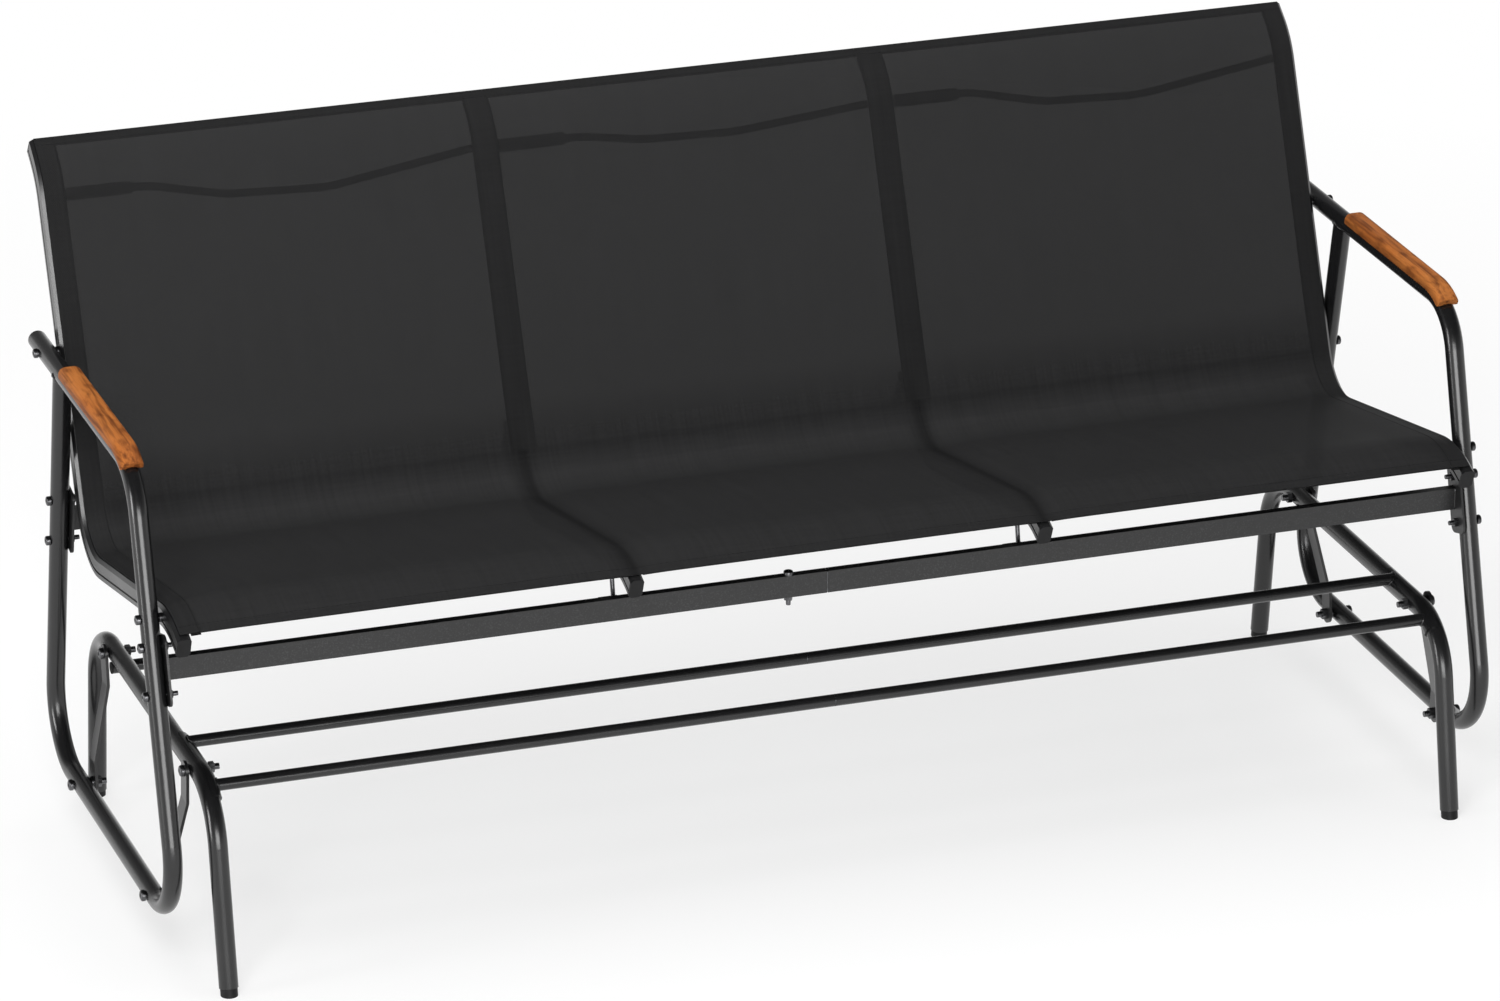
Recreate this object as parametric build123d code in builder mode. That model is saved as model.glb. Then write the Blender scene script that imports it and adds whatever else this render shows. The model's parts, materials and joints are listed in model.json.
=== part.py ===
"""Three-seat glider bench: a sling seat on a steel tube frame that swings on four links.

Millimetres. +Z is up, the front of the bench faces -Y, and left and right are as seen from the front.
Heights are measured from the floor and depths from the middle of the base; the finished pieces are
then moved so that the origin lies on the floor, under the middle of the bench.
"""
from math import atan2, copysign, cos, degrees, hypot, radians, remainder, sin, tan, tau
import os

from build123d import *

os.makedirs("parts", exist_ok=True)

# Tubes
tube_d = 25.0              # side frames and base arches
tube_wall = 1.5
stretcher_d = 16.0         # cross tubes of the base
stretcher_wall = 1.2

# Widths
frame_span = 1800.0        # between the axes of the two side frames
arch_inset = 57.0          # from the axis of a side frame to the axis of the arch inside it
rail_gap = 3.3             # between a side frame and the end rail beside it
mid_rail_span = 558.0      # between the axes of the two middle sling rails

# Side frame, corner points of the tube's axis
arm_z = 656.0              # armrest height
arm_rear_y = 341.0         # rear end of the armrest
arm_front_y = -152.0       # where armrest and front upright would meet
toe_y = -312.0             # where front upright and bottom rail would meet
heel_y = 328.0             # where bottom rail and rear upright would meet
rear_top_y = 211.0         # where the rear upright meets the armrest
skid_z = 86.0              # bottom rail height
arm_bend = 75.0
skid_bend = 85.0

# Base arch, corner points of the tube's axis
arch_z = 260.0
foot_front_y = -330.0
foot_rear_y = 331.0
arch_front_y = -282.0
arch_rear_y = 300.0
arch_bend = 85.0
foot_height = 10.0         # part of the foot cap that shows below the tube
foot_d = 22.5
foot_plug_len = 18.0
foot_plug_gap = 0.15       # between the cap's plug and the bore of the leg

# Glider links: flat bars cranked outwards from the arch to the side frame
pivot_top_y = 202.0        # upper pivots, in front of and behind the middle
pivot_low_y = 184.0        # lower pivots
pivot_d = 8.0
pivot_clear = 0.05         # radial running clearance in a link's eye
loop_clear = 1.2           # radial clearance in the lower eyes of the rear links
link_w = 26.0
link_t = 4.0
link_top_straight = 42.0   # from the upper pivot to the crank
link_low_straight = 30.0   # from the lower pivot to the crank
link_bend = 8.0
side_play = 0.2            # between a link and the washer, head or nut beside it
top_washer_t = 1.2
low_washer_t = 3.0
washer_d = 16.0

# Fasteners
bolt_d = 6.0
hole_gap = 0.2             # radial gap of a bolt in its hole
head_af = 10.0
head_h = 4.0
nut_af = 10.0
nut_h = 5.0
pivot_head_af = 12.0
pivot_head_h = 3.5
pivot_nut_af = 13.0
pivot_nut_h = 6.5
bolt_proud = 7.0           # bolt end standing out of its nut

# Base stretchers
fore_stretcher_y = -246.0  # at the start of the front bend
fore_stretcher_drop = 6.0  # below the arch's axis height
mid_stretcher_y = -136.0
mid_stretcher_rise = 9.0
rear_stretcher_y = 193.0
rear_stretcher_overlap = 2.0   # depth of the notch that fits it to the arch
rear_stretcher_end = 8.0   # past the axis of the arch
stretcher_seam = 0.8       # gap between the halves of a cross tube
sleeve_len = 120.0
sleeve_wall = 1.2
sleeve_gap = 0.1
stretcher_plug_t = 2.0
stretcher_plug_len = 8.0
saddle_t = 2.5
saddle_gap = 0.1
saddle_rear_y = -112.0
saddle_turn = 38.0         # degrees of the front bend that the saddle follows

# Beams between the side frames
beam_h = 30.0
beam_w = 12.0
beam_wall = 1.5
beam_seam = 1.2
front_beam_z = 410.0
front_beam_back = 7.0      # behind the front upright's axis
rear_beam_z = 434.0
beam_sleeve_len = 220.0
beam_sleeve_gap = 0.2
plate_t = 3.0
plate_w = 40.0
plate_len = 92.0
plate_bolt_pitch = 62.0    # along the upright
splice_bolt_x = 52.0       # from the seam, in the left half

# Sling: the line that its upper face follows, from the top of the back to the front of the seat
back_top_y = 411.0
back_top_z = 909.0
curl_depth = 46.2          # how far the top of the back curls to the rear
curl_rise = 33.6
corner_y = 176.6           # where the lines of back and seat would meet
corner_z = 419.8
knee_y = -230.8            # where the seat turns down at the front
knee_z = 497.1
lip_reach = 52.2           # of the front edge before the knee
lip_drop = 22.1
curl_bend = 120.0
corner_bend = 70.0
knee_bend = 150.0
sling_t = 1.6
sling_gap = 0.2            # between the sling and the rails
sling_short = 9.0          # between the sling's front edge and the ends of the rails
sling_inset = 8.5          # from the outer side of an end rail to the edge of the sling

# Sling rails: flat oval tube with a rolled waist on both sides
rail_w = 18.5
rail_depth = 30.0
rail_bevel = 4.0
waist_depth = 2.0
waist_w = 3.0
waist_at = 4.0             # from the middle of the rail, away from the sitter
rail_wall = 1.6
cap_t = 3.0
cap_plug_len = 10.0
cap_plug_gap = 0.2

# What holds the middle rails
hanger_y = -172.0          # where the hanger bolt leaves the rail
hanger_tab_t = 3.0
hanger_tab_w = 26.0
hanger_tab_len = 52.0
hanger_tab_up = 8.0        # above the underside of the front beam
bracket_t = 3.0
bracket_rise = 66.0        # of its bolt above the middle of the rear beam
bracket_foot = 18.0
bracket_eye = 12.0

# Spreader bars behind the back
spreader_drop = 67.0       # below the top of the back
spreader_d = 11.0
spreader_bow = 45.0
spreader_tilt = 30.0       # degrees that the bows at the ends lean to the rear
mid_spreader_tilt = 48.0
spreader_sleeve_d = 18.0
spreader_sleeve_len = 105.0
spreader_lead = 21.0       # straight rod beyond the sleeve, up to the first bend's corner
spreader_gap = 0.2
spreader_bend = 120.0

# Armrest pads
pad_w = 31.0
pad_over = 11.0            # wood above the tube
pad_skirt = 6.0            # reach of the sides below the tube's axis
pad_round = 10.0
pad_end_round = 2.0        # round the outer edge of its ends
pad_rear_y = 173.0
pad_turn = 32.0            # degrees of the front bend that the pad follows
pad_gap = 0.1
plug_len = 14.0
plug_dome = 3.0
plug_gap = 0.15

# Derived places
side_x = frame_span / 2
side_in = side_x - tube_d / 2
side_out = side_x + tube_d / 2
arch_x = side_x - arch_inset
arch_in = arch_x - tube_d / 2
arch_out = arch_x + tube_d / 2
rail_out = side_in - rail_gap
rail_x = rail_out - rail_w / 2
mid_x = mid_rail_span / 2
bore_d = tube_d - 2 * tube_wall
bolt_hole_d = bolt_d + 2 * hole_gap
pivot_hole_d = pivot_d + 2 * hole_gap
link_top_x = arch_out + top_washer_t + side_play + link_t / 2
link_low_x = side_in - low_washer_t - side_play - link_t / 2
saddle_in = arch_in - saddle_gap - saddle_t
stretcher_end = arch_x - tube_d / 4
front_lean = (arm_front_y - toe_y) / (arm_z - skid_z)
rear_lean = (heel_y - rear_top_y) / (arm_z - skid_z)
plate_face = side_in - plate_t


def front_upright_y(z):
    """Depth of the front upright's axis at a height."""
    return arm_front_y - (arm_z - z) * front_lean


def rear_upright_y(z):
    """Depth of the rear upright's axis at a height."""
    return heel_y - (z - skid_z) * rear_lean


def follow(plane, corners, bends, section, last_turn=None):
    """Carry a section along straight lines and round bends that lie in a plane.

    With last_turn, in degrees, the run ends that far into its last bend.
    """
    aims = [atan2(b[1] - a[1], b[0] - a[0]) for a, b in zip(corners, corners[1:])]
    here = corners[0]
    with BuildPart() as bar:
        for corner, aim, onward, bend in zip(corners[1:], aims, aims[1:] + aims[-1:], (*bends, 0)):
            turn = remainder(onward - aim, tau)
            length = hypot(corner[0] - here[0], corner[1] - here[1]) - bend * tan(abs(turn) / 2)
            across = Plane(
                origin=plane.from_local_coords(here),
                x_dir=plane.z_dir,
                z_dir=plane.x_dir * cos(aim) + plane.y_dir * sin(aim),
            )
            with BuildSketch(across):
                section()
            extrude(amount=length)
            if bend == 0:
                break
            side = copysign(bend, turn)
            centre = (
                here[0] + length * cos(aim) - side * sin(aim),
                here[1] + length * sin(aim) + side * cos(aim),
            )
            hinge = Axis(plane.from_local_coords(centre), plane.z_dir * copysign(1, turn))
            ends_here = last_turn is not None and corner == corners[-2]
            with BuildSketch(across.offset(length)):
                section()
            revolve(axis=hinge, revolution_arc=last_turn if ends_here else degrees(abs(turn)))
            if ends_here:
                break
            here = (centre[0] + side * sin(onward), centre[1] - side * cos(onward))
    return bar.part


def shifted(points, depth):
    """Corner points of the sling's line, moved square to it, away from the sitter."""
    steps = [(b[0] - a[0], b[1] - a[1]) for a, b in zip(points, points[1:])]
    units = [(u / hypot(u, v), v / hypot(u, v)) for u, v in steps]
    normals = [(-v, u) for u, v in units]
    moved = [(points[0][0] + depth * normals[0][0], points[0][1] + depth * normals[0][1])]
    for p, m, n in zip(points[1:], normals, normals[1:]):
        share = depth / (1 + m[0] * n[0] + m[1] * n[1])
        moved.append((p[0] + share * (m[0] + n[0]), p[1] + share * (m[1] + n[1])))
    last = points[-1]
    moved.append((last[0] + depth * normals[-1][0], last[1] + depth * normals[-1][1]))
    return moved


def line_at_y(points, first, y):
    """Height of one straight stretch of a corner line at a depth."""
    a, b = points[first], points[first + 1]
    return a[1] + (y - a[0]) * (b[1] - a[1]) / (b[0] - a[0])


def line_at_z(points, first, z):
    """Depth of one straight stretch of a corner line at a height."""
    a, b = points[first], points[first + 1]
    return a[0] + (z - a[1]) * (b[0] - a[0]) / (b[1] - a[1])


back_curl = (back_top_y - curl_depth, back_top_z - curl_rise)
seat_front = (knee_y - lip_reach, knee_z - lip_drop)
sling_line = [(back_top_y, back_top_z), back_curl, (corner_y, corner_z), (knee_y, knee_z), seat_front]
rail_deep = sling_t + sling_gap + rail_depth / 2
rail_line = shifted(sling_line, rail_deep)
rail_under = shifted(sling_line, sling_t + sling_gap + rail_depth)
end_out = (rail_line[0][0] - rail_line[1][0], rail_line[0][1] - rail_line[1][1])
front_out = (rail_line[4][0] - rail_line[3][0], rail_line[4][1] - rail_line[3][1])
rail_start = tuple(p - cap_t * q / hypot(*end_out) for p, q in zip(rail_line[0], end_out))
rail_stop = tuple(p - cap_t * q / hypot(*front_out) for p, q in zip(rail_line[4], front_out))
rail_radii = (curl_bend - rail_deep, corner_bend + rail_deep, knee_bend - rail_deep)

# Bolts through the side frames: along the uprights, and one at the rear of the armrest
front_slope = hypot(1, front_lean)
rear_slope = hypot(1, rear_lean)
plate_step = plate_bolt_pitch / 2 / front_slope
rear_plate_step = plate_bolt_pitch / 2 / rear_slope
front_plate_bolts = [(front_upright_y(z), z) for z in (front_beam_z - plate_step, front_beam_z + plate_step)]
rear_plate_bolts = [
    (rear_upright_y(z), z) for z in (rear_beam_z - rear_plate_step, rear_beam_z + rear_plate_step)
]
seat_slope = (rail_line[3][1] - rail_line[2][1]) / (rail_line[3][0] - rail_line[2][0])
seat_at_zero = rail_line[2][1] - seat_slope * rail_line[2][0]
seat_bolt_z = (seat_at_zero + seat_slope * (arm_front_y - arm_z * front_lean)) / (1 - seat_slope * front_lean)
seat_bolt = (front_upright_y(seat_bolt_z), seat_bolt_z)
back_bolt = (line_at_z(rail_line, 1, arm_z), arm_z)
rail_bolts = [seat_bolt, back_bolt]
low_pivots = [(-pivot_low_y, skid_z), (pivot_low_y, skid_z)]
top_pivots = [(-pivot_top_y, arch_z), (pivot_top_y, arch_z)]

# Side frames: one bent tube, with the rear upright welded under the armrest
arm_corners = [(arm_rear_y, arm_z), (arm_front_y, arm_z), (toe_y, skid_z)]
frame_corners = [*arm_corners, (heel_y, skid_z), (rear_top_y, arm_z)]
frame_bends = (arm_bend, skid_bend, skid_bend)
with BuildPart() as side_frame_right:
    for size, how in ((tube_d, Mode.ADD), (bore_d, Mode.SUBTRACT)):
        add(follow(Plane.YZ.offset(side_x), frame_corners, frame_bends, lambda: Circle(size / 2)), mode=how)
    with BuildSketch(Plane.YZ.offset(side_x)):
        with Locations(*front_plate_bolts, *rear_plate_bolts, *rail_bolts):
            Circle(bolt_hole_d / 2)
        with Locations(*low_pivots):
            Circle(pivot_hole_d / 2)
    extrude(amount=tube_d, both=True, mode=Mode.SUBTRACT)

with BuildPart() as side_frame_left:
    mirror(side_frame_right.part, about=Plane.YZ)

with BuildPart() as armrest_plugs:
    with BuildSketch(Plane.XZ.offset(-arm_rear_y)) as plug_head:
        with Locations((side_x, arm_z)):
            Circle(tube_d / 2)
    extrude(amount=-plug_dome)
    chamfer(armrest_plugs.edges().sort_by(Axis.Y)[-1], plug_dome * 0.8)
    with BuildSketch(Plane.XZ.offset(-arm_rear_y)):
        with Locations((side_x, arm_z)):
            Circle(bore_d / 2 - plug_gap)
    extrude(amount=plug_len)
    mirror(about=Plane.YZ)

# Wooden armrest pads: a rounded moulding, hollowed to sit over the tube and round its front bend
def pad_section():
    """Outline of a pad across the armrest, hollowed for the tube."""
    with Locations((0, (tube_d / 2 + pad_over - pad_skirt) / 2)):
        pad_box = Rectangle(pad_w, tube_d / 2 + pad_over + pad_skirt)
    fillet(pad_box.vertices().sort_by(Axis.Y)[2:], pad_round)
    Circle(tube_d / 2 + pad_gap, mode=Mode.SUBTRACT)
    with Locations((0, -pad_skirt)):
        Rectangle(tube_d + 2 * pad_gap, 2 * pad_skirt, mode=Mode.SUBTRACT)


with BuildPart() as armrest_pad_right:
    pad_corners = [(pad_rear_y, arm_z), *arm_corners[1:]]
    add(follow(Plane.YZ.offset(side_x), pad_corners, (arm_bend,), pad_section, pad_turn))
    pad_ends = [armrest_pad_right.faces().sort_by(Axis.Y)[at] for at in (0, -1)]
    fillet([end.edges().sort_by(Axis.Z)[-1] for end in pad_ends], pad_end_round)

with BuildPart() as armrest_pad_left:
    mirror(armrest_pad_right.part, about=Plane.YZ)

# Base arches
front_rise = (arch_front_y - foot_front_y) / arch_z
rear_rise = (arch_rear_y - foot_rear_y) / arch_z
arch_corners = [
    (foot_rear_y + foot_height * rear_rise, foot_height),
    (arch_rear_y, arch_z),
    (arch_front_y, arch_z),
    (foot_front_y + foot_height * front_rise, foot_height),
]


def arch_run(size):
    """Round bar along the axis of the right arch."""
    return follow(Plane.YZ.offset(arch_x), arch_corners, (arch_bend, arch_bend), lambda: Circle(size / 2))


with BuildPart() as base_arch_right:
    add(arch_run(tube_d))
    add(arch_run(bore_d), mode=Mode.SUBTRACT)
    with BuildSketch(Plane.YZ.offset(arch_x)):
        with Locations(*top_pivots):
            Circle(pivot_hole_d / 2)
    extrude(amount=tube_d, both=True, mode=Mode.SUBTRACT)

with BuildPart() as base_arch_left:
    mirror(base_arch_right.part, about=Plane.YZ)

# Foot caps: a plug in the leg and a pad below it, cut flat on the floor
with BuildPart() as foot_caps:
    for foot_y, bend_y in ((foot_front_y, arch_front_y), (foot_rear_y, arch_rear_y)):
        leg = Vector(0, bend_y - foot_y, arch_z).normalized()
        leg_end = Vector(arch_x, foot_y, 0) + leg * (foot_height / leg.Z)
        with BuildSketch(Plane(origin=leg_end, x_dir=(1, 0, 0), z_dir=leg)):
            Circle(foot_d / 2)
        extrude(amount=-2 * foot_height)
        with BuildSketch(Plane(origin=leg_end, x_dir=(1, 0, 0), z_dir=leg)):
            Circle(bore_d / 2 - foot_plug_gap)
        extrude(amount=foot_plug_len)
    split(bisect_by=Plane.XY)
    mirror(about=Plane.YZ)

# Saddle plates: half shells that hug the arch from inside and carry the two front stretchers
arch_envelope = arch_run(tube_d + 2 * saddle_gap)
saddle_envelope = arch_run(tube_d + 2 * saddle_gap + 2 * saddle_t)


def saddle_section():
    """Half ring on the inner side of the arch."""
    Circle(tube_d / 2 + saddle_gap + saddle_t)
    Circle(tube_d / 2 + saddle_gap, mode=Mode.SUBTRACT)
    with Locations((tube_d, 0)):
        Rectangle(2 * tube_d, 2 * tube_d, mode=Mode.SUBTRACT)


with BuildPart() as saddle_right:
    saddle_corners = [(saddle_rear_y, arch_z), *arch_corners[2:]]
    add(follow(Plane.YZ.offset(arch_x), saddle_corners, (arch_bend,), saddle_section, saddle_turn))
    with BuildSketch(Plane.YZ.offset(arch_x)):
        with Locations(top_pivots[0]):
            Circle(pivot_hole_d / 2)
    extrude(amount=-tube_d, mode=Mode.SUBTRACT)

with BuildPart() as saddle_left:
    mirror(saddle_right.part, about=Plane.YZ)

# Cross tubes of the base, each in two halves on an inner sleeve
with BuildPart() as fore_stretcher_right:
    with BuildSketch(Plane.YZ.offset(stretcher_seam / 2)):
        with Locations((fore_stretcher_y, arch_z - fore_stretcher_drop)):
            Circle(stretcher_d / 2)
            Circle(stretcher_d / 2 - stretcher_wall, mode=Mode.SUBTRACT)
    extrude(amount=stretcher_end - stretcher_seam / 2)
    add(saddle_envelope, mode=Mode.SUBTRACT)

with BuildPart() as fore_stretcher_left:
    mirror(fore_stretcher_right.part, about=Plane.YZ)

with BuildPart() as mid_stretcher_right:
    with BuildSketch(Plane.YZ.offset(stretcher_seam / 2)):
        with Locations((mid_stretcher_y, arch_z + mid_stretcher_rise)):
            Circle(stretcher_d / 2)
            Circle(stretcher_d / 2 - stretcher_wall, mode=Mode.SUBTRACT)
    extrude(amount=stretcher_end - stretcher_seam / 2)
    add(saddle_envelope, mode=Mode.SUBTRACT)

with BuildPart() as mid_stretcher_left:
    mirror(mid_stretcher_right.part, about=Plane.YZ)

rear_stretcher_z = arch_z - tube_d / 2 - stretcher_d / 2 + rear_stretcher_overlap
rear_stretcher_x = arch_x + rear_stretcher_end
with BuildPart() as rear_stretcher_right:
    with BuildSketch(Plane.YZ.offset(stretcher_seam / 2)):
        with Locations((rear_stretcher_y, rear_stretcher_z)):
            Circle(stretcher_d / 2)
            Circle(stretcher_d / 2 - stretcher_wall, mode=Mode.SUBTRACT)
    extrude(amount=rear_stretcher_x - stretcher_seam / 2)
    add(arch_envelope, mode=Mode.SUBTRACT)

with BuildPart() as rear_stretcher_left:
    mirror(rear_stretcher_right.part, about=Plane.YZ)

with BuildPart() as rear_stretcher_plugs:
    with BuildSketch(Plane.YZ.offset(rear_stretcher_x)):
        with Locations((rear_stretcher_y, rear_stretcher_z)):
            Circle(stretcher_d / 2)
    extrude(amount=stretcher_plug_t)
    with BuildSketch(Plane.YZ.offset(rear_stretcher_x)):
        with Locations((rear_stretcher_y, rear_stretcher_z)):
            Circle(stretcher_d / 2 - stretcher_wall - plug_gap)
    extrude(amount=-stretcher_plug_len)
    add(arch_envelope, mode=Mode.SUBTRACT)
    mirror(about=Plane.YZ)

with BuildPart() as stretcher_sleeves:
    with BuildSketch(Plane.YZ):
        with Locations(
            (fore_stretcher_y, arch_z - fore_stretcher_drop),
            (mid_stretcher_y, arch_z + mid_stretcher_rise),
            (rear_stretcher_y, rear_stretcher_z),
        ):
            Circle(stretcher_d / 2 - stretcher_wall - sleeve_gap)
            Circle(stretcher_d / 2 - stretcher_wall - sleeve_gap - sleeve_wall, mode=Mode.SUBTRACT)
    extrude(amount=sleeve_len / 2, both=True)

# Glider links
link_run = hypot(pivot_top_y - pivot_low_y, arch_z - skid_z)


def link_solid(sign, low_clear):
    """One link of the right side: a bar cranked outwards, with a round eye at each end."""
    top = Vector(0, sign * pivot_top_y, arch_z)
    down = (Vector(0, sign * pivot_low_y, skid_z) - top).normalized()
    across = Vector(1, 0, 0).cross(down)
    reach = link_w / 2 + link_t
    with BuildPart() as link:
        with BuildSketch(Plane(origin=top, x_dir=(1, 0, 0), z_dir=across)):
            with BuildLine() as bar:
                FilletPolyline(
                    (link_top_x, -reach),
                    (link_top_x, link_top_straight),
                    (link_low_x, link_run - link_low_straight),
                    (link_low_x, link_run + reach),
                    radius=link_bend,
                )
            trace(bar.line, line_width=link_t)
        extrude(amount=link_w, both=True)
        with BuildSketch(Plane(origin=top, x_dir=down, z_dir=(1, 0, 0))):
            with Locations((link_run / 2, 0)):
                SlotCenterToCenter(link_run, link_w)
            Circle(pivot_d / 2 + pivot_clear, mode=Mode.SUBTRACT)
            with Locations((link_run, 0)):
                Circle(pivot_d / 2 + low_clear, mode=Mode.SUBTRACT)
        extrude(amount=2 * side_x, mode=Mode.INTERSECT)
    return link.part


with BuildPart() as link_front_right:
    add(link_solid(-1, pivot_clear))
with BuildPart() as link_rear_right:
    add(link_solid(1, loop_clear))
with BuildPart() as link_front_left:
    mirror(link_front_right.part, about=Plane.YZ)
with BuildPart() as link_rear_left:
    mirror(link_rear_right.part, about=Plane.YZ)

# Upper pivots: bolt from outside through washer, link, washer and arch, with its nut inside
top_head_x = link_top_x + link_t / 2 + side_play
top_nut_x = [saddle_in, arch_in]
with BuildPart() as upper_pivot_bolts:
    for spot, nut_x in zip(top_pivots, top_nut_x):
        with BuildSketch(Plane.YZ.offset(top_head_x)):
            with Locations(spot):
                RegularPolygon(pivot_head_af / 2, 6, major_radius=False)
        extrude(amount=pivot_head_h)
        with BuildSketch(Plane.YZ.offset(top_head_x)):
            with Locations(spot):
                Circle(pivot_d / 2)
        extrude(amount=-(top_head_x - nut_x + pivot_nut_h + bolt_proud))
    mirror(about=Plane.YZ)

with BuildPart() as upper_pivot_nuts:
    for spot, nut_x in zip(top_pivots, top_nut_x):
        with BuildSketch(Plane.YZ.offset(nut_x)):
            with Locations(spot):
                RegularPolygon(pivot_nut_af / 2, 6, major_radius=False)
                Circle(pivot_d / 2, mode=Mode.SUBTRACT)
        extrude(amount=-pivot_nut_h)
    mirror(about=Plane.YZ)

with BuildPart() as upper_pivot_washers:
    with BuildSketch(Plane.YZ.offset(arch_out)):
        with Locations(*top_pivots):
            Circle(washer_d / 2)
            Circle(pivot_d / 2 + hole_gap, mode=Mode.SUBTRACT)
    extrude(amount=top_washer_t)
    mirror(about=Plane.YZ)

# Lower pivots: bolt from outside through the bottom rail, washer and link, with its nut inside
low_nut_x = link_low_x - link_t / 2 - side_play
with BuildPart() as lower_pivot_bolts:
    with BuildSketch(Plane.YZ.offset(side_out)):
        with Locations(*low_pivots):
            RegularPolygon(pivot_head_af / 2, 6, major_radius=False)
    extrude(amount=pivot_head_h)
    with BuildSketch(Plane.YZ.offset(side_out)):
        with Locations(*low_pivots):
            Circle(pivot_d / 2)
    extrude(amount=-(side_out - low_nut_x + pivot_nut_h + bolt_proud))
    mirror(about=Plane.YZ)

with BuildPart() as lower_pivot_nuts:
    with BuildSketch(Plane.YZ.offset(low_nut_x)):
        with Locations(*low_pivots):
            RegularPolygon(pivot_nut_af / 2, 6, major_radius=False)
            Circle(pivot_d / 2, mode=Mode.SUBTRACT)
    extrude(amount=-pivot_nut_h)
    mirror(about=Plane.YZ)

with BuildPart() as lower_pivot_washers:
    with BuildSketch(Plane.YZ.offset(side_in)):
        with Locations(*low_pivots):
            Circle(washer_d / 2)
            Circle(pivot_d / 2 + hole_gap, mode=Mode.SUBTRACT)
    extrude(amount=-low_washer_t)
    mirror(about=Plane.YZ)

# Front and rear beams: two halves of box tube on an inner sleeve, with a bolted plate at each end
front_beam_y = front_upright_y(front_beam_z) + front_beam_back
rear_beam_y = rear_upright_y(rear_beam_z)
splice_spot = (-splice_bolt_x, front_beam_y)


def half_beam(y, z):
    """Right half of a box beam."""
    with BuildPart() as beam:
        with BuildSketch(Plane.YZ.offset(beam_seam / 2)):
            with Locations((y, z)):
                Rectangle(beam_w, beam_h)
                Rectangle(beam_w - 2 * beam_wall, beam_h - 2 * beam_wall, mode=Mode.SUBTRACT)
        extrude(amount=plate_face - beam_seam / 2)
    return beam.part


def end_plate(y, z, lean, bolts):
    """Right end plate of a beam, square to the upright that it is bolted to."""
    with BuildPart() as plate:
        with BuildSketch(Plane.YZ.offset(plate_face)):
            with Locations(Location((y, z, 0), (0, 0, 90 + lean))):
                RectangleRounded(plate_len, plate_w, plate_w / 4)
            with Locations(*bolts):
                Circle(bolt_hole_d / 2, mode=Mode.SUBTRACT)
        extrude(amount=plate_t)
    return plate.part


with BuildPart() as front_beam_right:
    add(half_beam(front_beam_y, front_beam_z))
with BuildPart() as front_beam_left:
    mirror(front_beam_right.part, about=Plane.YZ)
    with BuildSketch(Plane.XY.offset(front_beam_z)):
        with Locations(splice_spot):
            Circle(bolt_hole_d / 2)
    extrude(amount=beam_h, both=True, mode=Mode.SUBTRACT)
with BuildPart() as rear_beam_right:
    add(half_beam(rear_beam_y, rear_beam_z))
with BuildPart() as rear_beam_left:
    mirror(rear_beam_right.part, about=Plane.YZ)

sleeve_w = beam_w - 2 * beam_wall - 2 * beam_sleeve_gap
sleeve_h = beam_h - 2 * beam_wall - 2 * beam_sleeve_gap
with BuildPart() as beam_sleeves:
    with BuildSketch(Plane.YZ):
        with Locations((front_beam_y, front_beam_z), (rear_beam_y, rear_beam_z)):
            Rectangle(sleeve_w, sleeve_h)
            Rectangle(sleeve_w - 2 * beam_wall, sleeve_h - 2 * beam_wall, mode=Mode.SUBTRACT)
    extrude(amount=beam_sleeve_len / 2, both=True)
    with BuildSketch(Plane.XY.offset(front_beam_z)):
        with Locations(splice_spot):
            Circle(bolt_hole_d / 2)
    extrude(amount=beam_h, both=True, mode=Mode.SUBTRACT)

with BuildPart() as splice_bolt:
    with BuildSketch(Plane.XY.offset(front_beam_z + beam_h / 2)):
        with Locations(splice_spot):
            RegularPolygon(head_af / 2, 6, major_radius=False)
    extrude(amount=head_h)
    with BuildSketch(Plane.XY.offset(front_beam_z + beam_h / 2)):
        with Locations(splice_spot):
            Circle(bolt_d / 2)
    extrude(amount=-(beam_h + nut_h + bolt_proud))

with BuildPart() as splice_nut:
    with BuildSketch(Plane.XY.offset(front_beam_z - beam_h / 2)):
        with Locations(splice_spot):
            RegularPolygon(nut_af / 2, 6, major_radius=False)
            Circle(bolt_d / 2, mode=Mode.SUBTRACT)
    extrude(amount=-nut_h)

with BuildPart() as front_beam_plate_right:
    plate_y = front_upright_y(front_beam_z)
    add(end_plate(plate_y, front_beam_z, -degrees(atan2(front_lean, 1)), front_plate_bolts))
with BuildPart() as front_beam_plate_left:
    mirror(front_beam_plate_right.part, about=Plane.YZ)
with BuildPart() as rear_beam_plate_right:
    add(end_plate(rear_beam_y, rear_beam_z, degrees(atan2(rear_lean, 1)), rear_plate_bolts))
with BuildPart() as rear_beam_plate_left:
    mirror(rear_beam_plate_right.part, about=Plane.YZ)

# Bolts of the end plates, and the bolts that hold the end rails
with BuildPart() as frame_bolts:
    with BuildSketch(Plane.YZ.offset(side_out)):
        with Locations(*front_plate_bolts, *rear_plate_bolts, *rail_bolts):
            RegularPolygon(head_af / 2, 6, major_radius=False)
    extrude(amount=head_h)
    with BuildSketch(Plane.YZ.offset(side_out)):
        with Locations(*front_plate_bolts, *rear_plate_bolts):
            Circle(bolt_d / 2)
    extrude(amount=-(side_out - plate_face + nut_h + bolt_proud))
    with BuildSketch(Plane.YZ.offset(side_out)):
        with Locations(*rail_bolts):
            Circle(bolt_d / 2)
    extrude(amount=-(side_out - rail_x))
    mirror(about=Plane.YZ)

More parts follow.
